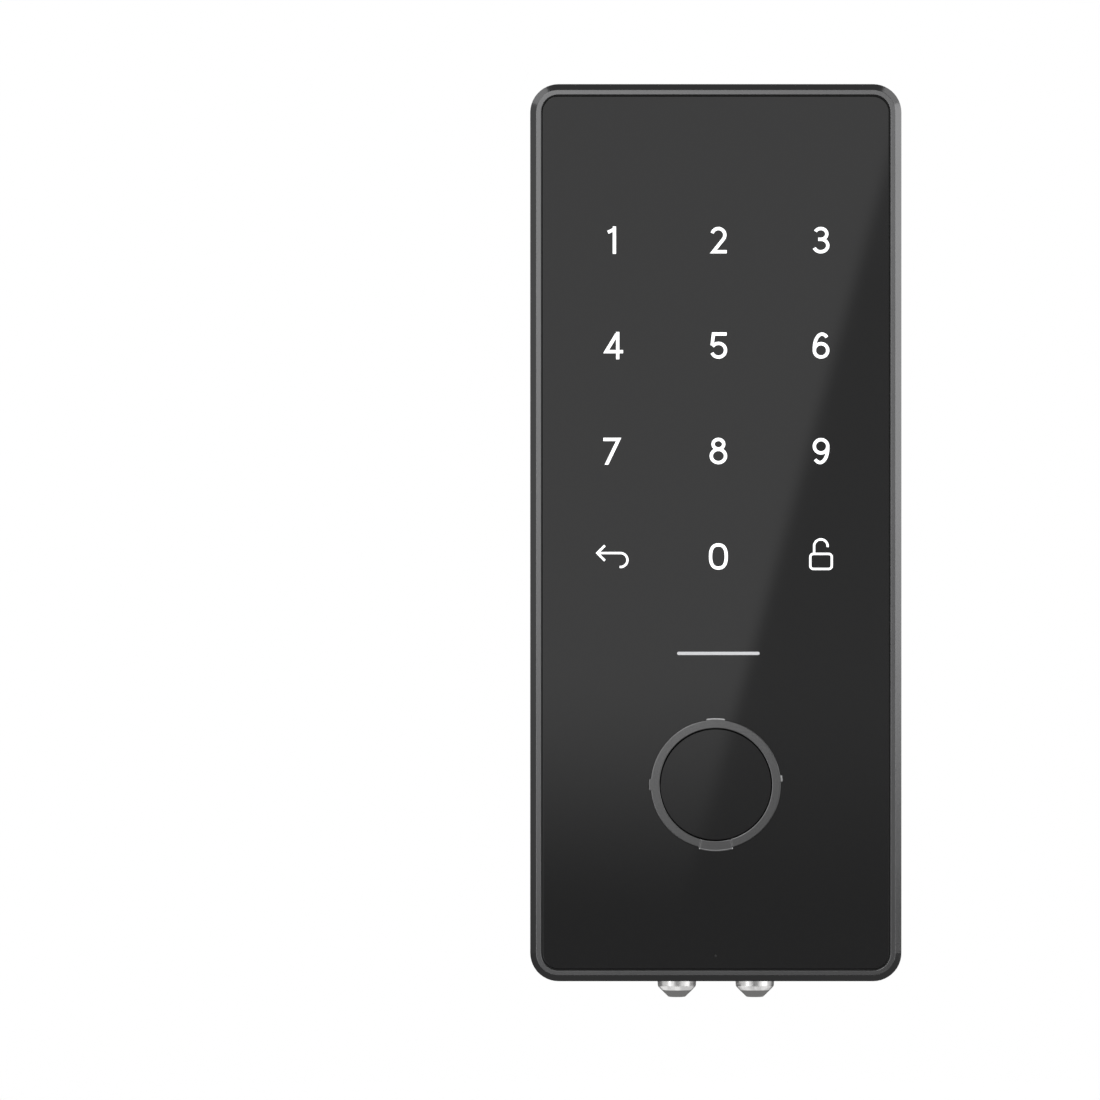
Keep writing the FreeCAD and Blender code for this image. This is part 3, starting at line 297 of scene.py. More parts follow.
add_softbox("right_softbox", (1.5, -0.1, 0.31), (0, 0, 0.06), (1.0, 0.8), 1.15)
add_softbox("left_softbox", (-1.5, -0.1, 0.30), (0, 0, 0.0), (0.8, 0.8), 0.14)
add_softbox("left_corner_softbox", (-1.1, -0.1, 1.1), (0, 0, 0.0), (0.7, 1.15), 0.66)
add_softbox("right_corner_softbox", (1.1, -0.1, 1.2), (0, 0, 0.0), (0.7, 1.15), 0.60)
add_softbox("top_left_softbox", (-0.8, -1.3, 1.5), (0, 0, 0), (0.9, 0.9), 2.4)
add_softbox("left_strip", (-1.15, -1.15, -0.1), (0, 0, -0.09), (0.35, 1.2), 1.5)
add_softbox("right_strip", (1.45, -0.72, -0.1), (0, 0, -0.09), (0.80, 1.2), 1.1)
add_softbox("room_softbox", (0.8, 1.6, 1.1), (0, 0.05, 0), (1.2, 1.0), 5.8)
add_softbox("left_room_softbox", (-1.5, 1.2, 0.5), (0, 0.05, 0), (0.8, 1.2), 3.0)


# ---- outside frame ------------------------------------------------------------------------
# A die-cast metal frame, fine-blasted and anodised dark grey. A flat band and a sloped edge
# run round the glass. It holds everything of the outside unit.
def blasted_metal(name, colour, roughness, bare_and_highlight=None):
    """Anodised metal: fine grain in the height and the gloss, and slow drifts of tone. The last argument is
    X, Z and a radius round them. Beyond it the colour is a lighter grey, a painted highlight, except on the
    left."""
    finish = Finish(name)
    grain = finish.noise(9000, 3.0)
    drift = finish.noise(55, 2.0)
    tone = finish.shades(drift, colour, 0.94, 1.05)
    gloss = roughness + (grain - 0.5) * 0.10 + (drift - 0.5) * 0.05
    if bare_and_highlight:
        x, y, z = finish.axes()
        across, up, radius = x - bare_and_highlight[0], z - bare_and_highlight[1], bare_and_highlight[2]
        beyond = ((across * across + up * up) ** 0.5).rise(radius, radius + 0.03 * mm)
        # Painted highlight: a lighter grey beyond the radius, faded out towards the left.
        tone = finish.blend(beyond * across.rise(-radius, 0), tone, (0.55, 0.55, 0.555))
    return finish.surface(base_color=tone, metallic=1.0, roughness=gloss,
                          normal=finish.bump(grain, 0.000004, 0.6))


def dress(material, *names):
    """Gives CAD nodes a finish in place of their plain one."""
    for name in names:
        for slot in nodes[name].material_slots:
            slot.material = material


dress(blasted_metal("frame_metal", (0.220, 0.220, 0.223), 0.20), "outer_frame")


# ---- panel glass --------------------------------------------------------------------------
# Toughened glass with a black print behind it and a polished edge, glued onto the frame's
# ledge. Its holes take the reader's ring and the microphone.
DEEP_BLACK, GLASS_IOR = (0.0085, 0.0085, 0.0088), 1.5
glass = Finish("panel_glass")
haze = glass.noise(38, 3.0)
smear = glass.noise(140, 4.0, stretch=(1, 1, 0.35))
dress(glass.surface(base_color=DEEP_BLACK, roughness=0.014 + haze * 0.008 + smear * 0.006, ior=GLASS_IOR),
      "panel_glass")


# ---- digits and signs ---------------------------------------------------------------------
# White translucent print in the glass, lit from behind: ten digits, a back arrow and an open
# padlock. Each is drawn with strokes of one width, in millimetres from its key's centre.
DIGIT_STROKE, SIGN_STROKE, PRINT_DEPTH = 0.63, 0.43, 0.02
TOUCH_R, MIDDLE_KEYS_RIGHT = 5.4, 0.3
touch_low, touch_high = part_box("touch_springs")
key_x = np.linspace(touch_low.x + TOUCH_R * mm, touch_high.x - TOUCH_R * mm, 3)
key_x[1] += MIDDLE_KEYS_RIGHT * mm
key_z = np.linspace(touch_high.z - TOUCH_R * mm, touch_low.z + TOUCH_R * mm, 4)


def bow(x, z, across, up, start, end, steps=28):
    """Points of an ellipse's arc: centre plus (across cos t, up sin t), t in degrees."""
    t = np.radians(np.linspace(start, end, steps))
    return np.stack([x + across * np.cos(t), z + up * np.sin(t)], -1)


def oval(x, z, across, up, power=2.0, steps=56):
    """A closed superellipse: cos and sin keep their signs and take the power 2 / power."""
    t = np.linspace(0, 2 * np.pi, steps, endpoint=False)
    c, s = np.cos(t), np.sin(t)
    shape = np.stack([np.sign(c) * abs(c) ** (2 / power), np.sign(s) * abs(s) ** (2 / power)], -1)
    return np.array([x, z]) + shape * (across, up)


def run(*points):
    return np.array(points, float)


def soft_box(across, low, high, corner, steps=7):
    """A closed rectangle with round corners."""
    middle = ((across - corner, high - corner), (corner - across, high - corner),
              (corner - across, low + corner), (across - corner, low + corner))
    return np.concatenate([bow(x, z, corner, corner, 90 * i, 90 * i + 90, steps)
                           for i, (x, z) in enumerate(middle)])


def closed_up(mesh):
    """Merges doubled points, turns all faces outwards and shades edges below 35 degrees smooth."""
    work = bmesh.new()
    work.from_mesh(mesh)
    bmesh.ops.remove_doubles(work, verts=work.verts, dist=1e-7)
    bmesh.ops.recalc_face_normals(work, faces=work.faces)
    work.to_mesh(mesh)
    work.free()
    mesh.polygons.foreach_set("use_smooth", [True] * len(mesh.polygons))
    mesh.set_sharp_from_angle(angle=math.radians(35))
    return mesh


def skin(name, points, around_rows=False, around_columns=False, caps=False):
    """A mesh through a grid of points (rows, columns, 3). The grid can close on itself either
    way, and caps close its first and last rows with one face each."""
    rows, columns = points.shape[:2]
    r, c = np.meshgrid(np.arange(rows if around_rows else rows - 1),
                       np.arange(columns if around_columns else columns - 1), indexing="ij")
    below, beside = (r + 1) % rows, (c + 1) % columns
    corners = (r, c), (r, beside), (below, beside), (below, c)
    faces = np.stack([row * columns + column for row, column in corners], -1).reshape(-1, 4).tolist()
    if caps:
        faces += [list(range(columns)), list(range(rows * columns - columns, rows * columns))]
    mesh = bpy.data.meshes.new(name)
    mesh.from_pydata(points.reshape(-1, 3).tolist(), [], faces)
    return closed_up(mesh)


def stroke(name, path, width, closed, face, depth, level_end=False):
    """A flat bar along a path in XZ. Each point moves half the width to both sides, along the
    mean of its two runs' normals, lengthened where they meet at an angle. A level end is cut
    square to Z."""
    after = np.roll(path, -1, 0) - path
    after /= np.linalg.norm(after, axis=1, keepdims=True)
    before = np.roll(after, 1, 0)
    if not closed:
        before[0], after[-1] = after[0], before[-1]
    sides = np.stack([-(before + after)[:, 1], (before + after)[:, 0]], -1)
    sides /= np.linalg.norm(sides, axis=1, keepdims=True)
    reach = width / 2 / np.maximum(0.3, (sides * np.stack([-before[:, 1], before[:, 0]], -1)).sum(1))
    if level_end:
        sides[-1] = (np.sign(sides[-1, 0]), 0)
        reach[-1] = width / 2 / abs(after[-1, 1])
    left, right = path + sides * reach[:, None], path - sides * reach[:, None]
    section = [(left, face), (right, face), (right, face + depth), (left, face + depth)]
    grid = np.stack([np.insert(side, 1, y, axis=1) for side, y in section], 1)
    return skin(name, grid, around_rows=closed, around_columns=True, caps=not closed)


def plate(name, outline, levels, axis=1):
    """A flat plate: its outline at two levels along an axis, and a wall between them."""
    grid = np.array([np.insert(outline, axis, level, axis=1) for level in levels])
    return skin(name, grid, around_columns=True, caps=True)


two = np.concatenate([bow(0, 1.0, 1.25, 1.25, 163, -38), run((-0.98, -2.24), (1.62, -2.24))])
three_top = np.concatenate([bow(-0.05, 1.21, 1.17, 1.04, 152, -90), run((-0.55, 0.17))])
three_foot = np.concatenate([run((-0.55, 0.17)), bow(-0.05, -1.04, 1.36, 1.21, 90, -157)])
six = [(oval(0, -0.92, 1.30, 1.29), True), (bow(0.2, -0.62, 1.50, 2.85, 180, 52), False)]
shackle = np.concatenate([run((-1.34, 0.50)), bow(-0.03, 2.0, 1.31, 1.31, 180, -8)])
GLYPHS = {
    "digit_1": [(run((0.34, -2.65), (0.34, 2.65)), False), (run((-0.92, 1.52), (0.55, 2.22)), False)],
    "digit_2": [(two, False)],
    "digit_3": [(three_top, False), (three_foot, False)],
    "digit_4": [(run((2.02, -1.17), (-1.27, -1.17), (0.80, 2.22)), False),
                (run((0.98, -2.65), (0.98, 2.65)), False)],
    "digit_5": [(run((1.60, 2.25), (-0.96, 2.25), (-1.22, 0.05)), False),
                (bow(0.02, -0.90, 1.36, 1.33, 146, -157), False)],
    "digit_6": six,
    "digit_7": [(run((-1.80, 2.25), (1.17, 2.25), (-1.20, -2.65)), False)],
    "digit_8": [(oval(0, 1.33, 1.03, 0.92), True), (oval(0, -0.96, 1.38, 1.28), True)],
    "digit_9": [(-path, closed) for path, closed in six],
    "back_arrow": [(run((-2.75, 0.66), (1.52, 0.66)), False),
                   (bow(1.52, -0.69, 1.35, 1.35, 90, -97), False),
                   (run((-1.50, 2.12), (-2.97, 0.66), (-1.50, -0.80)), False)],
    "digit_0": [(oval(0, 0, 1.52, 2.24, 2.45), True)],
    "open_padlock": [(soft_box(2.08, -2.42, 0.50, 0.6), True), (shackle, False)],
}


def print_lit_from_behind(name, colour, dark, pale):
    """Translucent print: its own colour, and a slightly cloudy glow between two colours."""
    finish = Finish(name)
    glow = finish.blend(finish.noise(900, 2.0), dark, pale)
    return finish.surface(base_color=colour, roughness=0.4, emission_color=glow, emission_strength=1.0)


lit_print = print_lit_from_behind("lit_print", (0.85, 0.86, 0.87), (0.96, 0.97, 0.98), (1, 1, 1))
faint_print = print_lit_from_behind("faint_print", (0.45, 0.45, 0.46), (0.30, 0.30, 0.31), (0.34, 0.34, 0.35))


def combined(name, meshes, operation="UNION"):
    """One mesh from closed meshes: exact booleans join the others to the first or cut them from it."""
    first = bpy.data.objects.new(name, meshes[0])
    scene.collection.objects.link(first)
    helpers = []
    for mesh in meshes[1:]:
        helper = bpy.data.objects.new(f"{name}_helper", mesh)
        scene.collection.objects.link(helper)
        helpers.append(helper)
        join = first.modifiers.new("join", "BOOLEAN")
        join.operation, join.solver, join.object = operation, "EXACT", helper
    bpy.context.view_layer.update()
    finished = first.evaluated_get(bpy.context.evaluated_depsgraph_get())
    result = bpy.data.meshes.new_from_object(finished)
    for thing in [first] + helpers:
        bpy.data.objects.remove(thing)
    result.name = name
    return closed_up(result)


print_face = glass_low.y - PRINT_DEPTH * mm
for number, (name, strokes) in enumerate(GLYPHS.items()):
    row, column = divmod(number, 3)
    width = (DIGIT_STROKE if name.startswith("digit") else SIGN_STROKE) * mm
    middle = np.array([key_x[column], key_z[row]])
    bars = [stroke(name, path * mm + middle, width, closed, print_face, PRINT_DEPTH * mm, name == "digit_7")
            for path, closed in strokes]
    add_piece(name, combined(name, bars), lit_print, "lock_body")

BAR_Z, BAR_HALF, BAR_HEIGHT = -23.4, 8.0, 0.62
bar = soft_box(BAR_HALF, -BAR_HEIGHT / 2, BAR_HEIGHT / 2, BAR_HEIGHT / 2) * mm + (key_x[1], BAR_Z * mm)
add_piece("light_bar", plate("light_bar", bar, (print_face, glass_low.y)), faint_print,
          "lock_body")


# ---- fingerprint reader -------------------------------------------------------------------
# A turned and dark-anodised ring glued into the glass, with four small locating tabs, round a
# hard-coated touch disc as dark as the glass. A clip behind the board holds the ring's sleeve.
def softened(profile, radius, steps=4):
    """A profile with rounded corners: each inner corner P becomes the curve
    (1-s)(1-s) A + 2s(1-s) P + s s B, with A and B on its two sides, radius away from it.
    One more point beyond A and beyond B keeps the flats between corners flat when shaded."""
    points = np.array(profile, float)
    corner = points[1:-1]
    reach = []
    for side in (points[:-2] - corner, points[2:] - corner):
        length = np.linalg.norm(side, axis=1, keepdims=True)
        reach.append(side / length * np.minimum(radius, length * 0.42))
    (a, b), s = [(corner + step)[:, None] for step in reach], np.linspace(0, 1, steps)[None, :, None]
    curves = (1 - s) ** 2 * a + 2 * s * (1 - s) * corner[:, None] + s ** 2 * b
    holds = [(corner + step * 1.12)[:, None] for step in reach]
    rounded = np.concatenate([holds[0], curves, holds[1]], 1).reshape(-1, 2)
    return np.concatenate([points[:1], rounded, points[-1:]])


def turned(profile, centre, axis="Y", steps=72, swell=0.0):
    """A profile turned round an axis. Its radius r times (1 + swell) goes round the centre as
    (r cos t, r sin t), and its height lies along the axis. Profile and height in millimetres."""
    t = np.linspace(0, 2 * np.pi, steps, endpoint=False)[:, None]
    r, h = np.array(profile, float).T[:, None] * mm
    across, up, along = (0, 2, 1) if axis == "Y" else (0, 1, 2)
    grid = np.zeros((steps, len(profile), 3))
    grid[..., across] = r * (1 + swell) * np.cos(t)
    grid[..., up] = r * (1 + swell) * np.sin(t)
    grid[..., along] = h
    return grid + np.array(centre)


def near(angles, middle, half, soft):
    """1 round a middle angle, and 0 beyond half on both sides, with a soft step inside. In degrees."""
    return np.clip((half - abs((angles - middle + 180) % 360 - 180)) / soft, 0, 1)


ring_low, ring_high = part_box("fingerprint_ring")
ring_x, ring_z = (ring_low.x + ring_high.x) / 2, (ring_low.z + ring_high.z) / 2
RING_OUTER, RING_INNER, RING_SLEEVE, RING_EDGE, RING_STEPS = 12.6, 10.9, 12.0, 0.16, 1080
TABS, TAB_OUT, TAB_SOFT = ((90, 8), (5.5, 3), (180, 5), (270, 15)), 0.35, 0.5
GROOVES, GROOVE_DEPTH, GROOVE_HALF, FACE_DEPTH = (255, 285), 0.10, 0.55, 0.25
ring_face, ring_back, glass_face = ring_low.y / mm, ring_high.y / mm, glass_low.y / mm
ring_profile = np.concatenate([
    softened([(RING_INNER, ring_back - 1), (RING_INNER, ring_face), (RING_OUTER, ring_face),
              (RING_OUTER, glass_face)], RING_EDGE, 6),
    run((RING_SLEEVE, glass_face), (RING_SLEEVE, ring_back), (RING_INNER, ring_back))])
round_ring = np.degrees(np.linspace(0, 2 * np.pi, RING_STEPS, endpoint=False))[:, None]
tabs = sum(near(round_ring, middle, half + TAB_SOFT / 2, TAB_SOFT) for middle, half in TABS)
at_edge = (ring_profile[:, 0] > RING_OUTER - 2 * RING_EDGE) & (ring_profile[:, 1] <= glass_face)
ring_grid = turned(ring_profile, (ring_x, 0, ring_z), steps=RING_STEPS,
                   swell=tabs * at_edge * TAB_OUT / RING_OUTER)
grooves = sum(near(round_ring, side, GROOVE_HALF, GROOVE_HALF) for side in GROOVES)
on_face = np.clip((ring_face + FACE_DEPTH - ring_profile[:, 1]) / FACE_DEPTH, 0, 1)
ring_grid[..., 1] += grooves * on_face * GROOVE_DEPTH * mm
ring_mesh = skin("reader_ring", ring_grid, around_rows=True, around_columns=True)
# The tabs reach beyond this radius. There the ring's colour carries a painted highlight, except on the left
# tab.
tab_highlight_circle = (ring_x, ring_z, (RING_OUTER + 0.02) * mm)
ring_metal = blasted_metal("ring_metal", (0.195, 0.195, 0.197), 0.12, tab_highlight_circle)
add_piece("reader_ring", ring_mesh, ring_metal, "lock_body", ["fingerprint_ring"])
sensor = Finish("sensor_face")
pores = sensor.noise(6000, 2.0)
dress(sensor.surface(base_color=DEEP_BLACK, roughness=0.020 + pores * 0.014, ior=GLASS_IOR),
      "fingerprint_sensor")


# ---- emergency terminals ------------------------------------------------------------------
# Two turned and nickel-plated contacts under the bottom edge, each in a black sleeve in the
# frame. Tool marks run round them. Upright streaks of painted reflection run down them, and the
# tip's slope is matt and painted darker, as shade.
TERMINAL_R, PIN_R, PIN_TOP, COLLAR_TOP, TERMINAL_SOFT = 3.8, 2.0, 10.2, 3.75, 0.20
BARREL_R, BARREL_DROP, WAIST_R, WAIST_DROP, TIP_R, TIP_DROP = 3.7, 1.4, 3.0, 2.15, 1.6, 3.5


def sloped_nickel(name, waist_z):
    """Nickel plate: rings from the tool, upright streaks of painted reflection, and a matt slope below the
    waist painted darker as shade.
    """
    finish = Finish(name)
    x, y, z = finish.axes()
    tip = 1 - z.rise(waist_z - 0.05 * mm, waist_z + 0.10 * mm)
    rings = finish.noise(3200, 2.0, stretch=(0.04, 0.04, 1))
    # Painted reflection: upright streaks of lighter colour stand in for reflected strips of light.
    streaks = finish.noise(620, 2.0, stretch=(1, 1, 0.03)).rise(0.36, 0.66)
    bright = finish.blend(streaks, (0.62, 0.615, 0.61), (0.90, 0.89, 0.88))
    # Painted shade: below the waist the colour is darker, where the dark floor would be reflected.
    tone = finish.blend(tip, bright, (0.235, 0.232, 0.228))
    return finish.surface(base_color=tone, metallic=1.0, roughness=0.26 + rings * 0.06 + tip * 0.35,
                          normal=finish.bump(rings, 0.000005, 0.5))


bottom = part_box("outer_frame")[0].z / mm
nickel = sloped_nickel("terminal_nickel", (bottom - WAIST_DROP) * mm)
terminal_profile = np.concatenate([
    run((0, PIN_TOP), (PIN_R, PIN_TOP), (PIN_R, COLLAR_TOP), (TERMINAL_R, COLLAR_TOP)),
    softened([(TERMINAL_R, 0), (BARREL_R, -BARREL_DROP), (WAIST_R, -WAIST_DROP), (TIP_R, -TIP_DROP),
              (0, -TIP_DROP)], TERMINAL_SOFT)]) + (0, bottom)
terminals_only = bpy.data.collections.new("terminals_only")
for side in ("left", "right"):
    low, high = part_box(f"power_terminal_{side}")
    grid = turned(terminal_profile, ((low.x + high.x) / 2, (low.y + high.y) / 2, 0), "Z", 96)
    terminal = add_piece(f"nickel_terminal_{side}", skin("nickel_terminal", grid, around_rows=True), nickel,
                         "lock_body", [f"power_terminal_{side}"])
    terminals_only.objects.link(terminal)
# Softboxes that light the two terminals and nothing else.
for name, place, aim, size, brightness in (
        ("terminal_light_right", (1.0, -0.65, -0.27), (0, -0.65, -0.27), (2.3, 0.6), 0.58),
        ("terminal_light_left", (-1.0, -0.43, -0.27), (0, -0.43, -0.27), (1.15, 0.6), 0.52),
        ("terminal_light_front", (0.45, -2.1, -0.5), (0, 0, -0.09), (1.3, 0.8), 0.30),
        ("terminal_light_low", (0, -0.02, -0.145), (0, -0.02, 0), (0.25, 0.20), 0.74)):
    add_softbox(name, place, aim, size, brightness).light_linking.receiver_collection = terminals_only


def moulded_plastic(name, colour, roughness, grain=2600, depth=0.00003):
    """Moulded plastic: the tool's spark-eroded texture, slow drifts of tone, and rubbed places."""
    finish = Finish(name)
    texture = finish.noise(grain, 4.0, roughness=0.65)
    drift = finish.noise(34, 2.0)
    rubbed = finish.noise(70, 5.0, stretch=(1, 1, 0.4)).rise(0.56, 0.74)
    tone = finish.shades(drift * 0.7 + texture * 0.3, colour, 0.88, 1.12)
    gloss = roughness + (texture - 0.5) * 0.16 - rubbed * 0.10
    return finish.surface(base_color=tone, roughness=gloss, normal=finish.bump(texture, depth, 0.6))


black_plastic = moulded_plastic("black_plastic", (0.020, 0.020, 0.022), 0.55)
dress(black_plastic, "terminal_block", "terminal_bushings", "light_mask", "sensor_retainer")


# ---- adhesive bead and microphone gauze ---------------------------------------------------
# A bead of black silicone, laid by hand, fills the gap between the glass and the frame. A disc
# of fine woven gauze, pressed into the glass's pinhole, keeps dust off the microphone.
GLASS_CORNER, BEAD_INNER, BEAD_OUTER, BEAD_LIP = 3.15, -0.03, 0.19, 0.07
BEAD_TOP, BEAD_HOLLOW, BEAD_FOOT = 0.10, 0.15, 0.9
GAUZE_R, GAUZE_TOP, GAUZE_FOOT, MICROPHONE_Z = 0.24, 0.05, 0.6, -82.0
WEAVE = 60000                        # radians in a metre, so that the wires lie 0.1 mm apart
bead_profile = [(BEAD_INNER, BEAD_FOOT), (BEAD_INNER, BEAD_TOP), (BEAD_INNER + BEAD_LIP, BEAD_HOLLOW),
                (BEAD_OUTER - BEAD_LIP, BEAD_HOLLOW), (BEAD_OUTER, BEAD_TOP), (BEAD_OUTER, BEAD_FOOT)]
bead_rows = []
glass_side, glass_foot, glass_top = glass_high.x / mm, glass_low.z / mm, glass_high.z / mm
for out, deep in bead_profile:
    path = soft_box(glass_side + out, glass_foot - out, glass_top + out, GLASS_CORNER + out)
    bead_rows.append(np.insert(path, 1, glass_face + deep, axis=1) * mm)
bead = skin("adhesive_bead", np.array(bead_rows), around_rows=True, around_columns=True)
black_silicone = moulded_plastic("black_silicone", (0.012, 0.012, 0.012), 0.60, 3800)
add_piece("adhesive_bead", bead, black_silicone, "lock_body")
gauze = Finish("gauze")
x, y, z = gauze.axes()
weave = ((x * WEAVE).math("SINE") * (z * WEAVE).math("SINE") + 1) / 2
wires = gauze.blend(weave, (0.02, 0.02, 0.02), (0.06, 0.06, 0.06))
gauze_finish = gauze.surface(base_color=wires, roughness=0.5, normal=gauze.bump(weave, 0.00001, 0.6))
gauze_profile = softened([(0, GAUZE_TOP - 0.02), (GAUZE_R, GAUZE_TOP), (GAUZE_R, GAUZE_FOOT),
                          (0, GAUZE_FOOT)], 0.05)
gauze_grid = turned(gauze_profile, (0, glass_low.y, MICROPHONE_Z * mm), steps=48)
add_piece("microphone_gauze", skin("microphone_gauze", gauze_grid, around_rows=True), gauze_finish,
          "lock_body")


# ---- lights and boards behind the glass ---------------------------------------------------
# Milky discs, lamps and touch contacts behind the digits, and the boards that carry them:
# green solder mask over copper tracks, black chips and natural nylon sockets.
def circuit_board(name):
    """Solder mask: tracks show lighter through it, and small tinned dots stand on them."""
    finish = Finish(name)
    cells = finish.node("ShaderNodeTexVoronoi", {"feature": "DISTANCE_TO_EDGE"},
                        {"Vector": finish.place(), "Scale": 420.0, "Randomness": 0.55})
    track = 1 - cells.rise(0.05, 0.09)
    dots = finish.node("ShaderNodeTexVoronoi", {"distance": "MANHATTAN"},
                       {"Vector": finish.place(), "Scale": 300.0, "Randomness": 0.35})
    tinned = 1 - dots.rise(0.11, 0.14)
    mask = finish.blend(track, (0.006, 0.050, 0.026), (0.016, 0.120, 0.060))
    return finish.surface(base_color=finish.blend(tinned, mask, (0.72, 0.70, 0.64)), metallic=tinned,
                          roughness=0.38 - tinned * 0.10 + finish.noise(900) * 0.06,
                          normal=finish.bump(track + tinned, 0.00004, 0.7))


def drawn_metal(name, colour, roughness, stretch=(0.03, 1, 1), marks=0.10):
    """Rolled, drawn or brushed metal: fine lines along one axis, and cloudy gloss."""
    finish = Finish(name)
    lines = finish.noise(5200, 3.0, stretch)
    cloud = finish.noise(90, 3.0)
    tone = finish.shades(lines * 0.6 + cloud * 0.4, colour, 0.86, 1.10)
    gloss = roughness + (lines - 0.5) * marks + (cloud - 0.5) * 0.12
    return finish.surface(base_color=tone, metallic=1.0, roughness=gloss,
                          normal=finish.bump(lines, 0.000006, 0.5))


spring_steel = drawn_metal("spring_steel", (0.66, 0.65, 0.62), 0.24)
dress(spring_steel, "touch_springs", "wave_washer", "hub_clip")
dress(circuit_board("circuit_board"), "touch_board", "main_board", "button_board")
dress(moulded_plastic("chip_black", (0.016, 0.016, 0.017), 0.42, 5200, 0.00001), "board_components",
      "buzzer", "sensor_module", "main_board_parts", "setup_switch")
dress(moulded_plastic("connector_plastic", (0.74, 0.71, 0.62), 0.45, 1500, 0.00002), "board_connector",
      "main_board_connector")
dress(moulded_plastic("diffuser_plastic", (0.86, 0.87, 0.88), 0.40, 1200, 0.00001), "light_diffusers")
dress(moulded_plastic("lamp_resin", (0.88, 0.84, 0.55), 0.25, 3000, 0.000005), "key_leds")


# ---- back of the outside unit -------------------------------------------------------------
# A powder-coated casting closes the unit, held by six plated screws. Two threaded posts reach
# into the door, a soft ring lines the cable hole, and a die-cut foam rubber sheet seals the rim.
def coated_casting(name, colour):
    """Powder coat on a casting: orange peel, fine pimples and thin coat worn at the high spots."""
    finish = Finish(name)
    peel, pimples = finish.noise(520, 3.0), finish.noise(4200, 2.0)
    worn = finish.noise(150, 6.0).rise(0.70, 0.80)
    coat = finish.shades(peel, colour, 0.85, 1.12)
    tone = finish.blend(worn * 0.5, coat, tuple(c * 2.2 for c in colour))
    gloss = 0.48 + (pimples - 0.5) * 0.14 - worn * 0.1
    return finish.surface(base_color=tone, metallic=0.15, roughness=gloss,
                          normal=finish.bump(peel * 0.75 + pimples * 0.25, 0.00011, 0.7))


def zinc_plate(name, colour):
    """Zinc-plated steel: crystals of slightly different grey, a yellow cast in patches."""
    finish = Finish(name)
    crystals = finish.node("ShaderNodeTexVoronoi", None, {"Vector": finish.place(), "Scale": 700.0}, 1)
    crystal = finish.node("ShaderNodeSeparateColor", None, {"Color": crystals})
    patch = finish.noise(60, 4.0)
    grey = finish.shades(crystal, colour, 0.90, 1.06)
    yellow = (colour[0], colour[1] * 0.95, colour[2] * 0.80)
    tone = finish.blend(patch.rise(0.45, 0.75) * 0.5, grey, yellow)
    return finish.surface(base_color=tone, metallic=1.0, roughness=0.26 + crystal * 0.07 + patch * 0.14,
                          normal=finish.bump(crystal, 0.000004, 0.5))


screw_steel = zinc_plate("screw_steel", (0.60, 0.60, 0.61))
dress(coated_casting("cast_back", (0.052, 0.052, 0.054)), "outer_back_plate")
dress(screw_steel, "outer_case_screws", "guide_plate_screws", "gear_plate_screws", "main_board_screws",
      "chassis_screws", "inner_case_screws")
foam = Finish("gasket_rubber")
cells = foam.node("ShaderNodeTexVoronoi", None, {"Vector": foam.place(), "Scale": 1300.0})
chalk = foam.noise(120, 5.0)
pale = cells.rise(0.05, 0.50) * 0.6 + chalk * 0.4
dress(foam.surface(base_color=foam.blend(pale, (0.011, 0.011, 0.011), (0.033, 0.033, 0.034)),
                   roughness=0.72 + chalk * 0.16, normal=foam.bump(cells, 0.00012, 0.8)), "door_gasket")
dress(moulded_plastic("grommet_rubber", (0.018, 0.018, 0.018), 0.72, 3200, 0.00002), "cable_grommet")


# ---- through bolts and mounting plate -----------------------------------------------------
# Two long zinc-plated screws run through the door into the posts. Their threads have a notch
# every 6 mm where the installer shortens them. The plate on the door's inner face is stamped.
def gathered(name, meshes):
    """One mesh that holds several closed meshes."""
    work = bmesh.new()
    for mesh in meshes:
        work.from_mesh(mesh)
        bpy.data.meshes.remove(mesh)
    whole = bpy.data.meshes.new(name)
    work.to_mesh(whole)
    work.free()
    return whole


def block(name, low, high):
    """A closed box between two corners, the cutter for a screw's recess."""
    (x0, y0, z0), (x1, y1, z1) = low, high
    return plate(name, run((x0, z0), (x1, z0), (x1, z1), (x0, z1)), (y0, y1))


CREST, CORE, PITCH, THREAD_ROWS, THREAD_STEPS, THREAD_STOPS = 2.5, 2.08, 0.8, 7, 30, 2.5
NOTCH_EVERY, NOTCH_SLOPE, TIP_TAPER, FLAT_CREST, FLANK_FALL = 6.0, 0.35, 1.2, 1.35, 1.7
HEAD_R, HEAD_HIGH, HEAD_SIDE, DOME_R, DOME_HIGH = 4.6, 2.7, 1.5, 3.3, 2.55
RECESS_HALF, RECESS_LONG, RECESS_DEEP = 0.65, 2.5, 1.7
bolts_low, bolts_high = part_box("through_bolts")
seat, tip = bolts_high.y / mm - HEAD_HIGH, bolts_low.y / mm
along = np.arange(tip, seat - THREAD_STOPS, PITCH / THREAD_ROWS)
turn = np.linspace(0, 2 * np.pi, THREAD_STEPS, endpoint=False)[:, None]
flank = abs((along[None] / PITCH - turn / (2 * np.pi)) % 1 * 2 - 1)
# The radius goes from crest to core with the flank's triangle wave, and drops to the core
# near the tip and in the notches.
from_notch = abs((along - tip) % NOTCH_EVERY - NOTCH_EVERY / 2)
full = np.clip((along - tip) / TIP_TAPER, 0, 1) * np.clip(from_notch / NOTCH_SLOPE, 0, 1)
thread_r = CORE + (CREST - CORE) * np.clip(FLAT_CREST - FLANK_FALL * flank, 0, 1) * full[None]
head_profile = softened([(CREST, seat - THREAD_STOPS + 0.1), (CREST, seat), (HEAD_R, seat),
                         (HEAD_R, seat + HEAD_SIDE), (DOME_R, seat + DOME_HIGH), (0, seat + HEAD_HIGH)], 0.3)
thread_line = np.stack([np.full(len(along), CREST), along], -1)
whole = np.concatenate([[(0, tip), (CORE - 0.4, tip)], thread_line, head_profile])
swell = np.zeros((THREAD_STEPS, len(whole)))
swell[:, 2:2 + len(along)] = thread_r / CREST - 1
bolt_meshes = []
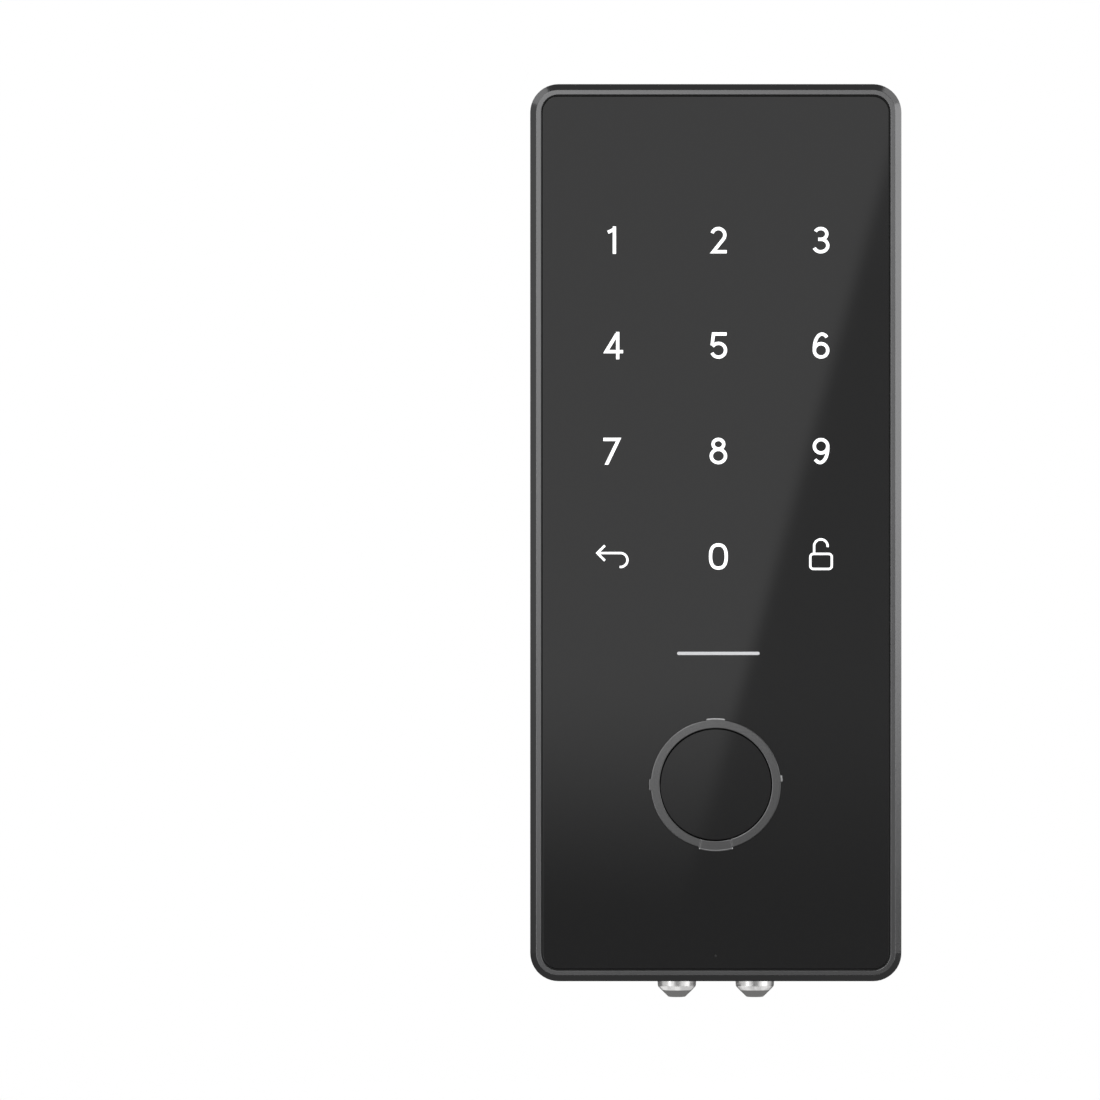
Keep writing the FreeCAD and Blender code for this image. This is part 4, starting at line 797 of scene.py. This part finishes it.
for z in (bolts_low.z + HEAD_R * mm, bolts_high.z - HEAD_R * mm):
    shank = skin("bolt", turned(whole, (0, 0, z), steps=THREAD_STEPS, swell=swell), around_rows=True)
    top, deep = bolts_high.y + mm, bolts_high.y - RECESS_DEEP * mm
    long, half = RECESS_LONG * mm, RECESS_HALF * mm
    cross = [block("cross", (-long, deep, z - half), (long, top, z + half)),
             block("cross", (-half, deep, z - long), (half, top, z + long))]
    bolt_meshes.append(combined("bolt", [shank] + cross, "DIFFERENCE"))
add_piece("threaded_bolts", gathered("threaded_bolts", bolt_meshes), screw_steel, "lock_body",
          ["through_bolts"])
dress(zinc_plate("plate_steel", (0.58, 0.58, 0.57)), "mounting_plate", "bolt_guide_plate", "gear_plate")


# ---- chassis and deadbolt -----------------------------------------------------------------
# A coated casting carries the mechanism. The deadbolt is a satin nickel-plated steel bar with
# a rack under it. It slides in the casting's channel and a black nylon bush.
dress(coated_casting("chassis_metal", (0.090, 0.090, 0.095)), "inner_chassis")
dress(moulded_plastic("bush_nylon", (0.030, 0.030, 0.030), 0.50, 1800, 0.00002), "bolt_bush")
dress(drawn_metal("bolt_steel", (0.64, 0.62, 0.59), 0.27, (0.02, 1, 1), 0.14), "deadbolt", "bolt_rack")


# ---- gears and motor ----------------------------------------------------------------------
# Machined steel gear and shaft on the thumb turn, an acetal reduction gear, a steel motor
# pinion, and a flat motor with its gearbox in drawn and plated cans.
dress(drawn_metal("gear_steel", (0.46, 0.46, 0.47), 0.30, (1, 0.04, 1)), "drive_gear", "turn_shaft",
      "gear_axle", "motor_pinion")
dress(moulded_plastic("gear_acetal", (0.80, 0.79, 0.74), 0.40, 900, 0.00001), "reduction_gear")
dress(drawn_metal("motor_can", (0.56, 0.56, 0.58), 0.28, (1, 0.03, 1)), "motor_gearbox", "gear_motor")


# ---- batteries ----------------------------------------------------------------------------
# Four AA cells, every second one the other way up. Each has a printed film in two plain
# colours, shrunk over the steel can, and a crimped end with an insulating ring round the nub.
def cell_film(name, middle, sense, x0, y0):
    """Plain film: graphite, with a copper-coloured band at the nub's end and uncovered steel on both
    ends. The sense is 1 for a cell with its nub up, or -1."""
    finish = Finish(name)
    x, y, z = finish.axes()
    up = (z - middle) * sense
    from_axis = ((x - x0) * (x - x0) + (y - y0) * (y - y0)) ** 0.5
    # In this film the mask marks the uncovered steel of both ends.
    bare_and_highlight = 1 - from_axis.rise(6.5 * mm, 6.7 * mm)
    band = up.rise(12.2 * mm, 12.35 * mm)
    line = up.rise(11.2 * mm, 11.3 * mm) * (1 - up.rise(11.6 * mm, 11.7 * mm))
    creases = finish.noise(320, 4.0, stretch=(1, 1, 0.3))
    film = finish.blend(band, (0.020, 0.022, 0.026), (0.58, 0.27, 0.11))
    film = finish.blend(line, film, (0.74, 0.74, 0.72))
    tone = finish.blend(bare_and_highlight, film, (0.66, 0.65, 0.62))
    return finish.surface(base_color=tone, metallic=(band * 0.85).larger(bare_and_highlight), coat_weight=0.5,
                          coat_roughness=0.12, roughness=0.30 + creases * 0.12,
                          normal=finish.bump(creases, 0.00003, 0.35))


CELLS = 4
low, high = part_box("battery_1")
R, TALL = (high.x - low.x) / 2 / mm, (high.z - low.z) / mm
# Radius and height, from the middle of the foot: a dimpled foot, the side with a crimp at both
# ends, the insulating ring and the nub.
cell_profile = softened([
    (0, 0.12), (4.6, 0.12), (5.0, 0), (R - 0.9, 0), (R - 0.35, 0.5), (R - 0.05, 0.9), (R, 1.4),
    (R, TALL - 2.7), (R - 0.05, TALL - 2.1), (R - 0.4, TALL - 1.35), (R - 1.0, TALL - 1.22),
    (R - 1.3, TALL - 1.5), (R - 2.0, TALL - 1.5), (3.3, TALL - 1.45), (2.8, TALL - 1.2),
    (2.7, TALL - 0.25), (2.4, TALL), (0, TALL)], 0.12, 3)
for number in range(CELLS):
    low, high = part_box(f"battery_{number + 1}")
    sense, foot = (1, low.z / mm) if number % 2 == 0 else (-1, high.z / mm)
    x0, y0 = (low.x + high.x) / 2, (low.y + high.y) / 2
    cell = skin("cell", turned(cell_profile * (1, sense) + (0, foot), (x0, y0, 0), "Z", 72), around_rows=True)
    film = cell_film(f"battery_film_{number + 1}", (low.z + high.z) / 2, sense, x0, y0)
    add_piece(f"cell_{number + 1}", cell, film, "lock_body", [f"battery_{number + 1}"])


# ---- battery tray and contacts ------------------------------------------------------------
# A black moulded tray with cradles. Each cell's flat end sits against a nickel-plated coil
# spring on a plate, its nub against a pressed dimple.
def rod(name, path, radius, sides=10):
    """A round rod along a path. At each point a circle stands across the path's tangent."""
    tangent = np.gradient(path, axis=0)
    tangent /= np.linalg.norm(tangent, axis=1, keepdims=True)
    across = np.cross(tangent, (0, 0, 1))
    across /= np.linalg.norm(across, axis=1, keepdims=True)
    up = np.cross(across, tangent)
    t = np.linspace(0, 2 * np.pi, sides, endpoint=False)[None, :, None]
    grid = path[:, None] + radius * (np.cos(t) * across[:, None] + np.sin(t) * up[:, None])
    return skin(name, grid, around_columns=True, caps=True)


contacts_low, contacts_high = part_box("battery_contacts")
SPRING_WIRE, SPRING_WIDE, SPRING_NARROW, SPRING_TURNS, SPRING_STEPS = 0.34, 4.5, 2.6, 4.2, 170
PLATE_THICK, PLATE_HALF_WIDE, PLATE_HALF_HIGH, PLATE_CORNER, PLATE_SHIFT = 0.4, 5.0, 5.5, 1.0, -0.5
DIMPLE_FOOT_R, DIMPLE_SIDE_R, DIMPLE_TOP_R, DIMPLE_SOFT = 3.4, 2.7, 1.6, 0.5
contact_meshes = []
for number in range(CELLS):
    low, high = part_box(f"battery_{number + 1}")
    x0, y0 = (low.x + high.x) / 2, (low.y + high.y) / 2
    nub_up = number % 2 == 0
    for wall, inward, cell_end in ((contacts_low.z, 1, low.z), (contacts_high.z, -1, high.z)):
        outline = soft_box(PLATE_HALF_WIDE, -PLATE_HALF_HIGH, PLATE_HALF_HIGH, PLATE_CORNER)
        outline = outline * mm + (x0, y0 + PLATE_SHIFT * mm)
        contact_meshes.append(plate("plate", outline, (wall, wall + inward * PLATE_THICK * mm), 2))
        reach = abs(cell_end - wall) / mm - 0.02
        if nub_up == (inward < 0):
            dimple = [(0, PLATE_THICK / 2), (DIMPLE_FOOT_R, PLATE_THICK / 2), (DIMPLE_SIDE_R, reach * 0.8),
                      (DIMPLE_TOP_R, reach), (0, reach)]
            dimple = softened(dimple, DIMPLE_SOFT, 5) * (1, inward) + (0, wall / mm)
            contact_meshes.append(skin("dimple", turned(dimple, (x0, y0, 0), "Z", 36), around_rows=True))
        else:
            # The coil's radius narrows and its height rises evenly along its turns.
            s = np.linspace(0, 1, SPRING_STEPS)
            t = s * 2 * np.pi * SPRING_TURNS
            r = (SPRING_WIDE + (SPRING_NARROW - SPRING_WIDE) * s) * mm
            start, end = PLATE_THICK + SPRING_WIRE, reach - SPRING_WIRE
            height = wall + inward * (start + (end - start) * s) * mm
            coil = np.stack([x0 + r * np.cos(t), y0 + r * np.sin(t), height], 1)
            contact_meshes.append(rod("coil", coil, SPRING_WIRE * mm))
add_piece("coil_contacts", gathered("coil_contacts", contact_meshes), spring_steel, "lock_body",
          ["battery_contacts"])
dress(moulded_plastic("tray_plastic", (0.030, 0.030, 0.032), 0.52, 1900), "battery_tray")


# ---- inside covers ------------------------------------------------------------------------
# Two moulded shells with a spark-eroded texture. The upper one slides up off the batteries.
# Printed on them: an open and a closed padlock beside the thumb turn, and an arrow.
cover_plastic = moulded_plastic("cover_plastic", (0.055, 0.055, 0.058), 0.50, 1300, 0.00028)
dress(cover_plastic, "inner_cover", "battery_cover")
cover_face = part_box("inner_cover")[1].y
knob_low, knob_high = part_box("thumb_turn")
knob_z = (knob_low.z + knob_high.z) / 2
INK_PROUD, INK_SUNK, SIGN_OUT, ARROW_UP = 0.06, 0.02, 23.5, 20
grey_ink = moulded_plastic("grey_ink", (0.62, 0.62, 0.63), 0.45, 4000, 0.000008)


def printed(name, strokes, width, x, z, face, body):
    """A sign of flat bars on a face that looks into the room, so it is mirrored left to right."""
    foot, thick = face - INK_SUNK * mm, (INK_PROUD + INK_SUNK) * mm
    bars = [stroke(name, path * (-mm, mm) + (x, z), width * mm, closed, foot, thick)
            for path, closed in strokes]
    add_piece(name, combined(name, bars), grey_ink, body)


open_sign = GLYPHS["open_padlock"]
closed_shackle = np.concatenate([run((-1.31, 0.50)), bow(0, 1.3, 1.31, 1.31, 180, 0), run((1.31, 0.50))])
closed_sign = [open_sign[0], (closed_shackle, False)]
for name, sign, right, up in (("open_sign", open_sign, 0, SIGN_OUT),
                              ("closed_sign_left", closed_sign, -SIGN_OUT, 0),
                              ("closed_sign_right", closed_sign, SIGN_OUT, 0)):
    printed(name, sign, 0.45, right * mm, knob_z + up * mm, cover_face, "lock_body")
hatch_low, hatch_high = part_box("battery_cover")
arrow = [(run((-2.6, -1.1), (0, 1.3), (2.6, -1.1)) - (0, down), False) for down in (0, 2.2)]
printed("slide_arrow", arrow, 0.6, 0, hatch_low.z + ARROW_UP * mm, hatch_high.y, "battery_cover")


# ---- thumb turn ---------------------------------------------------------------------------
# A cast aluminium knob: a round base with a finely ribbed edge and a waisted lever to grip,
# blasted and anodised like the outside frame. A white line on the lever shows where it points.
BASE_R, BASE_FAR, BASE_CLEAR, HUB_R, BASE_TOP_R = 17.0, 3.6, 0.4, 8.0, 15.2
GROOVE_OUTER, GROOVE_INNER, GROOVE_WALL, GROOVE_DEEP = 13.4, 12.3, 0.3, 0.4
RIBS, RIB_DEEP, RIB_STEPS, RIB_FROM_R, RIB_FADE = 90, 0.28, 8, 16.6, 0.3
face = cover_face / mm + BASE_CLEAR
base_profile = softened([
    (0, knob_low.y / mm), (HUB_R, knob_low.y / mm), (HUB_R, face), (BASE_R - 0.6, face),
    (BASE_R, face + 0.6), (BASE_R, face + 2.7), (BASE_R - 0.7, face + 3.4), (BASE_TOP_R, face + BASE_FAR),
    (GROOVE_OUTER, face + BASE_FAR), (GROOVE_OUTER - GROOVE_WALL, face + BASE_FAR - GROOVE_DEEP),
    (GROOVE_INNER + GROOVE_WALL, face + BASE_FAR - GROOVE_DEEP), (GROOVE_INNER, face + BASE_FAR),
    (0, face + BASE_FAR)], 0.2)
t = np.linspace(0, 2 * np.pi, RIBS * RIB_STEPS, endpoint=False)[:, None]
ribbed = np.clip((base_profile[:, 0] - RIB_FROM_R) / RIB_FADE, 0, 1) * (base_profile[:, 1] > face)
ribs = -RIB_DEEP / BASE_R * (0.5 - 0.5 * np.cos(RIBS * t)) * ribbed
base_grid = turned(base_profile, (0, 0, knob_z), steps=RIBS * RIB_STEPS, swell=ribs)
knob_base = skin("knob_base", base_grid, around_rows=True)

# The lever is a stack of superellipses. At the height h over the base, its half size is a middle
# size plus a foot that fades as exp(-h / FOOT_FADE) plus a flare that grows with h squared. Its edge
# rounds over with radius CROWN, its end is slightly domed, and the waist narrows its middle.
FOOT_ROWS, SIDE_ROWS, CROWN_ROWS, END_ROWS, CROWN_START = 5, 26, 8, 7, 0.15
CROWN, LEVER_TALL, LEVER_SUNK, LEVER_POWER = 1.8, knob_high.y / mm - face - BASE_FAR, 0.6, 2.7
HALF_WIDTH, HALF_LENGTH = (4.3, 2.3, 0.9), (13.6, 1.3, 1.1)  # middle, foot and flare
FOOT_FADE, END_DOME = 1.5, 0.22
WAIST, WAIST_FULL_AT = 0.20, 0.25
crown_turn = np.linspace(CROWN_START, np.pi / 2, CROWN_ROWS)
h = np.concatenate([np.full(FOOT_ROWS, -LEVER_SUNK), np.linspace(-LEVER_SUNK, LEVER_TALL - CROWN, SIDE_ROWS),
                    LEVER_TALL - CROWN + CROWN * np.sin(crown_turn), np.full(END_ROWS, LEVER_TALL)])
inset = np.concatenate([np.zeros(FOOT_ROWS + SIDE_ROWS), CROWN * (1 - np.cos(crown_turn)),
                        np.full(END_ROWS, CROWN)])
inward = np.concatenate([np.linspace(0, 0.8, FOOT_ROWS), np.ones(SIDE_ROWS + CROWN_ROWS),
                         np.linspace(0.85, 0, END_ROWS)])
over = np.clip(h, 0, None)
foot_share, flare_share = np.exp(-over / FOOT_FADE), (over / LEVER_TALL) ** 2
half_width, half_long = [(middle + foot * foot_share + flare * flare_share - inset) * inward
                         for middle, foot, flare in (HALF_WIDTH, HALF_LENGTH)]
lever_y = face + BASE_FAR + h - END_DOME * (1 - inward) * (h >= LEVER_TALL)
shape = oval(0, 0, 1, 1, LEVER_POWER, 112)
waist_share = np.clip(over / LEVER_TALL / WAIST_FULL_AT, 0, 1)
pinch = 1 - WAIST * np.cos(shape[None, :, 1] * np.pi / 2) ** 2 * waist_share[:, None]
lever_grid = np.stack([half_width[:, None] * shape[None, :, 0] * pinch,
                       np.repeat(lever_y[:, None], len(shape), 1),
                       half_long[:, None] * shape[None, :, 1]], -1) * mm + (0, 0, knob_z)
lever = skin("lever", lever_grid, around_columns=True)
knob_metal = blasted_metal("knob_metal", (0.34, 0.34, 0.345), 0.32)
add_piece("thumb_knob", combined("thumb_knob", [knob_base, lever]), knob_metal, "thumb_turn",
          ["thumb_turn"])
POINTER_UP, POINTER_HALF, POINTER_SUNK = 9.5, 1.8, 0.08
pointer = [(run((0, -POINTER_HALF), (0, POINTER_HALF)), False)]
printed("knob_pointer", pointer, 0.7, 0, knob_z + POINTER_UP * mm, knob_high.y - POINTER_SUNK * mm,
        "thumb_turn")


# ---- push buttons -------------------------------------------------------------------------
# Satin grey moulded caps: a round one on the inside face that locks by motor, printed with a
# padlock, and the small set-up plunger under the battery cover.
dress(moulded_plastic("button_plastic", (0.24, 0.24, 0.245), 0.34, 3600, 0.000012), "lock_button",
      "setup_button")
button_low, button_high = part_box("lock_button")
printed("button_sign", closed_sign, 0.42, 0, (button_low.z + button_high.z) / 2, button_high.y, "lock_button")


# ---- size ---------------------------------------------------------------------------------
low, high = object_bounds()
